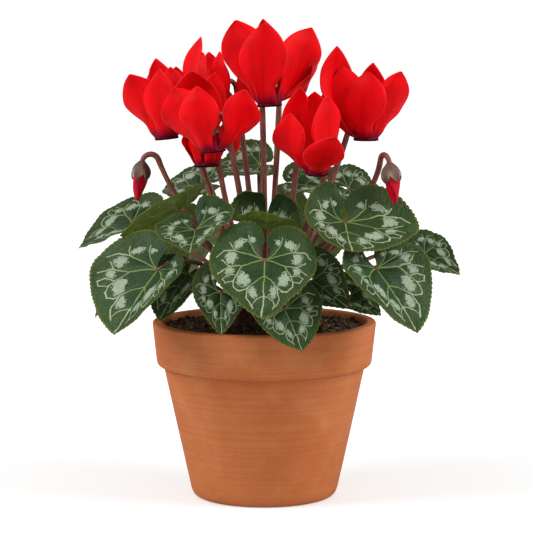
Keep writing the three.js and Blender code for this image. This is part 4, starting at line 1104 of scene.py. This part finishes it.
def makeBud(flower):
    # The petals are rolled in a spiral, so that ridges run slantwise round the body.
    point, head, rolls, slant = (budForm[key] for key in ("point", "head", "rolls", "slant"))
    s = np.linspace(0, 1, budForm["rows"])
    z = -point + (point + head) * s
    radius = budForm["radius"] * along(budForm["outline"], s)

    def rolled(radius, angle, height):
        turn = rolls * angle + slant * height
        ridge = 0.10 * (1 - turn / (2 * math.pi) % 1)**1.5 + 0.05 * np.cos(turn)
        return radius * (0.97 + ridge * (radius > 0)), height

    profile = [(0, z[0] - 0.2), *zip(radius, z), (0, z[-1])]
    grid, quads, around = turnedBody(profile, budForm["sides"], rolled)
    around[..., 1] = (grid[..., 2] + point) / (point + head)
    name = flower["name"]
    addPiece(f"rolled_bud_{name}", [{"points": fromFrame(grid, flower), "quads": quads, "map": around}],
             [budSkin], [f"bud_{name}"])


petalTints = {
    # light, toward the margins, and edge, at the rim, are partly the petal's own tone and partly painted
    # sheen
    "face": (228, 1, 10), "light": (244, 14, 24), "deep": (176, 0, 8), "foot": (128, 3, 32),
    # inside is near-black painted shade inside the mouth, between the petals' feet
    "inside": (34, 0, 8),
    "edge": (255, 70, 70), "sheen": (255, 120, 120),
}
# fold is painted shade in the creases where the rolled petals overlap
budTints = {"base": (194, 5, 34), "light": (216, 18, 46), "line": (120, 4, 26), "fold": (70, 0, 14)}
calyxTints = {"base": (116, 88, 74), "deep": (92, 62, 56), "line": (66, 40, 40), "edge": (170, 158, 112)}


def petalMaterial():
    # Scarlet, deeper along the middle line and lighter to the margins, where the lighter tone and the pink
    # rim are partly its own and partly painted sheen, with fine lines along the petal and a crimson-purple
    # foot that runs up between them.
    # Near the mouth the petals' feet and the tube turn near-black: painted shade inside the mouth.
    material, tree, shader = newMaterial("petal", **{
        "Sheen Weight": 0.02, "Sheen Roughness": 0.4, "Specular IOR Level": 0.07})
    shader.inputs["Sheen Tint"].default_value = tint(*petalTints["sheen"])
    place = node(tree, "UVMap", uv_map="pattern").outputs[0]
    seed = node(tree, "Attribute", attribute_name="petalSeed").outputs["Fac"]
    parts = node(tree, "SeparateXYZ", {0: place})
    own = node(tree, "CombineXYZ", {0: parts.outputs[0], 1: parts.outputs[1], 2: seed}).outputs[0]
    across = calc(tree, "ABSOLUTE", calc(tree, "SUBTRACT", parts.outputs[0], 0.5))
    share = parts.outputs[1]
    lines = use(tree, fibres, Map=own, Across=34.0, Along=1.6)
    # lighter toward the margins: partly the petal's own tone, partly painted sheen
    colour = blend(tree, spread(tree, across, 0.12, 0.5), tint(*petalTints["face"]),
                   tint(*petalTints["light"]))
    colour = blend(tree, spread(tree, noise(tree, own, 2.4, 2.0), 0.4, 0.75, 0.0, 0.5), colour,
                   tint(*petalTints["deep"]))
    middle = calc(tree, "MULTIPLY", spread(tree, across, 0.0, 0.1, 0.45, 0.0),
                  spread(tree, share, 0.95, 0.3))
    colour = blend(tree, middle, colour, tint(*petalTints["deep"]))
    colour = blend(tree, spread(tree, lines["Lines"], 0.5, 0.8, 0.0, 0.3), colour,
                   tint(*petalTints["deep"]))
    reach = calc(tree, "ADD", share,
                 calc(tree, "MULTIPLY", calc(tree, "SUBTRACT", lines["Streaks"], 0.5), 0.07))
    colour = blend(tree, spread(tree, reach, 0.05, 0.2, 1.0, 0.0), colour, tint(*petalTints["foot"]))
    # painted shade: near-black on the petals' feet inside the mouth and on the tube just above it
    colour = blend(tree, spread(tree, share, 0.0, 0.06, 0.95, 0.0), colour, tint(*petalTints["inside"]))
    # pink rim at the very margin: partly the petal's own colour, partly painted sheen
    colour = blend(tree, spread(tree, across, 0.485, 0.5, 0.0, 0.35), colour, tint(*petalTints["edge"]))
    finishWith(tree, shader, colour, 0.5, lines["Lines"], 0.0003, 0.45)
    return material


def budMaterial():
    # Crimson with fine slanting lines, and a dark line of painted shade in the fold beside each ridge.
    material, tree, shader = newMaterial("rolled bud", **{"Specular IOR Level": 0.1})
    place = node(tree, "UVMap", uv_map="pattern").outputs[0]
    spot = node(tree, "TexCoord").outputs["Object"]
    slant = node(tree, "Mapping", {"Vector": place, "Rotation": (0, 0, 0.5)}).outputs[0]
    lines = use(tree, fibres, Map=slant, Across=30.0, Along=2.0)
    cloud = use(tree, mottle, Place=spot, Size=120.0, Grain=1500.0)
    colour = blend(tree, cloud["Cloud"], tint(*budTints["base"]), tint(*budTints["light"]))
    colour = blend(tree, spread(tree, lines["Lines"], 0.48, 0.7, 0.0, 0.5), colour,
                   tint(*budTints["line"]))
    parts = node(tree, "SeparateXYZ", {0: place})
    slant = budForm["slant"] / (2 * math.pi)
    rolls = calc(tree, "MULTIPLY", parts.outputs[0], float(budForm["rolls"]))
    climb = calc(tree, "MULTIPLY", parts.outputs[1], slant * (budForm["point"] + budForm["head"]))
    wound = calc(tree, "SUBTRACT", calc(tree, "ADD", rolls, climb), slant * budForm["point"])
    fold = calc(tree, "FRACT", wound)
    # painted shade: dark in the fold where each rolled petal's edge lies over the next
    colour = blend(tree, spread(tree, fold, 0.0, 0.16, 0.85, 0.0), colour, tint(*budTints["fold"]))
    finishWith(tree, shader, colour, 0.45, lines["Lines"], 0.0004, 0.7)
    return material


def calyxMaterial():
    # Brown-purple grey lobes with tan-green edges and fine dark lines along them.
    material, tree, shader = newMaterial("calyx")
    place = node(tree, "UVMap", uv_map="pattern").outputs[0]
    spot = node(tree, "TexCoord").outputs["Object"]
    parts = node(tree, "SeparateXYZ", {0: place})
    side = calc(tree, "ABSOLUTE", calc(tree, "SUBTRACT", calc(tree, "FRACT", parts.outputs[0]), 0.5))
    lines = use(tree, fibres, Map=place, Across=9.0, Along=2.0)
    cloud = use(tree, mottle, Place=spot, Size=200.0, Grain=1800.0)
    colour = blend(tree, cloud["Cloud"], tint(*calyxTints["base"]), tint(*calyxTints["deep"]))
    colour = blend(tree, spread(tree, lines["Lines"], 0.48, 0.7, 0.0, 0.7), colour,
                   tint(*calyxTints["line"]))
    edge = calc(tree, "MULTIPLY", spread(tree, side, 0.2, 0.5), spread(tree, parts.outputs[1], 0.3, 0.7))
    colour = blend(tree, edge, colour, tint(*calyxTints["edge"]))
    finishWith(tree, shader, colour, 0.6, lines["Lines"], 0.0004, 0.8)
    return material


petalSkin, budSkin, calyxSkin = petalMaterial(), budMaterial(), calyxMaterial()
stalkSkin = stalkMaterial("flower stalk", *stalkTints["flower"])
collar = flowerForm["tubeHeight"] + flowerForm["calyxHeight"]
for k, flower in enumerate(flowers):
    makeFlower(k + 1, flower)
    calyx = calyxPatch(flower, flowerForm["calyxHeight"] + 1.5, flowerForm["calyxRadius"], collar, 0.35,
                       0.05)
    makeStalk(f"flower_stalk_{k + 1:02d}", flower, collar, calyx, f"stalk_{k + 1:02d}")
for flower in buds:
    makeBud(flower)
    calyx = calyxPatch(flower, budForm["calyxHeight"], budForm["calyxRadius"], budForm["collar"], 0.42,
                       -0.05)
    makeStalk(f"bud_stalk_{flower['name']}", flower, budForm["collar"], calyx,
              f"budstalk_{flower['name']}")
print("flowers:", len(flowers), "and buds:", len(buds))


# The floor, the light and the camera

# The camera sees a white ground: around the plant the floor's own glow is low, so that its soft shadow
# shows, and farther off it is high. The light that reaches the plant from all round is dimmer.
studio = {
    "floor": (205, 205, 205), "around": 0.5, "seen": 1.02, "glow": (0.46, 0.78), "glowReach": (0.2, 0.6),
    "key": 35.0, "fill": 32.5,
}
camera = {"place": (1.43, -1500, 326.1), "down": 6.537, "focal": 2258.6, "frame": 533, "sensor": 36.0}

floorMesh = bpy.data.meshes.new("floor")
floorMesh.from_pydata([(-9, -9, 0), (9, -9, 0), (9, 9, 0), (-9, 9, 0)], [], [(0, 1, 2, 3)])
floor = bpy.data.objects.new("floor", floorMesh)
bpy.context.scene.collection.objects.link(floor)
paper, tree, shader = newMaterial("pale floor")
shader.inputs["Base Color"].default_value = tint(*studio["floor"])
shader.inputs["Roughness"].default_value = 0.9
shader.inputs["Emission Color"].default_value = (1, 1, 1, 1)
seen = node(tree, "LightPath").outputs["Is Camera Ray"]
away = vectorCalc(tree, "LENGTH", node(tree, "TexCoord").outputs["Object"])
glow = calc(tree, "MULTIPLY", spread(tree, away, *studio["glowReach"], *studio["glow"]), seen)
tree.links.new(glow, shader.inputs["Emission Strength"])
floorMesh.materials.append(paper)


def areaLight(name, place, target, size, power):
    lamp = bpy.data.lights.new(name, "AREA")
    lamp.shape, lamp.size, lamp.energy = "DISK", size, power
    item = bpy.data.objects.new(name, lamp)
    bpy.context.scene.collection.objects.link(item)
    back = unit(np.array(place, float) - target)
    item.location = place
    item.rotation_euler = (math.acos(back[2]), 0, math.atan2(back[0], -back[1]))


areaLight("key", (-1.8, -0.65, 1.4), (0, 0, 0.2), 1.2, studio["key"])
areaLight("fill", (1.8, -0.65, 1.3), (0, 0, 0.2), 1.2, studio["fill"])
world = bpy.data.worlds.new("studio")
world.use_nodes = True
sky = world.node_tree.nodes["Background"]
sky.inputs["Color"].default_value = (1, 1, 1, 1)
tree = world.node_tree
seen = node(tree, "LightPath").outputs["Is Camera Ray"]
tree.links.new(spread(tree, seen, 0.0, 1.0, studio["around"], studio["seen"]), sky.inputs["Strength"])
bpy.context.scene.world = world
bpy.context.scene.view_settings.view_transform = "Standard"

lens = bpy.data.cameras.new("camera")
lens.sensor_width = camera["sensor"]
lens.lens = camera["focal"] / camera["frame"] * camera["sensor"]
lens.clip_start, lens.clip_end = 0.1, 50
eye = bpy.data.objects.new("camera", lens)
eye.location = [x * mm for x in camera["place"]]
eye.rotation_euler = (math.radians(90 - camera["down"]), 0, 0)
bpy.context.scene.collection.objects.link(eye)
bpy.context.scene.camera = eye
bpy.context.view_layer.update()
print("floor, light and camera: set")
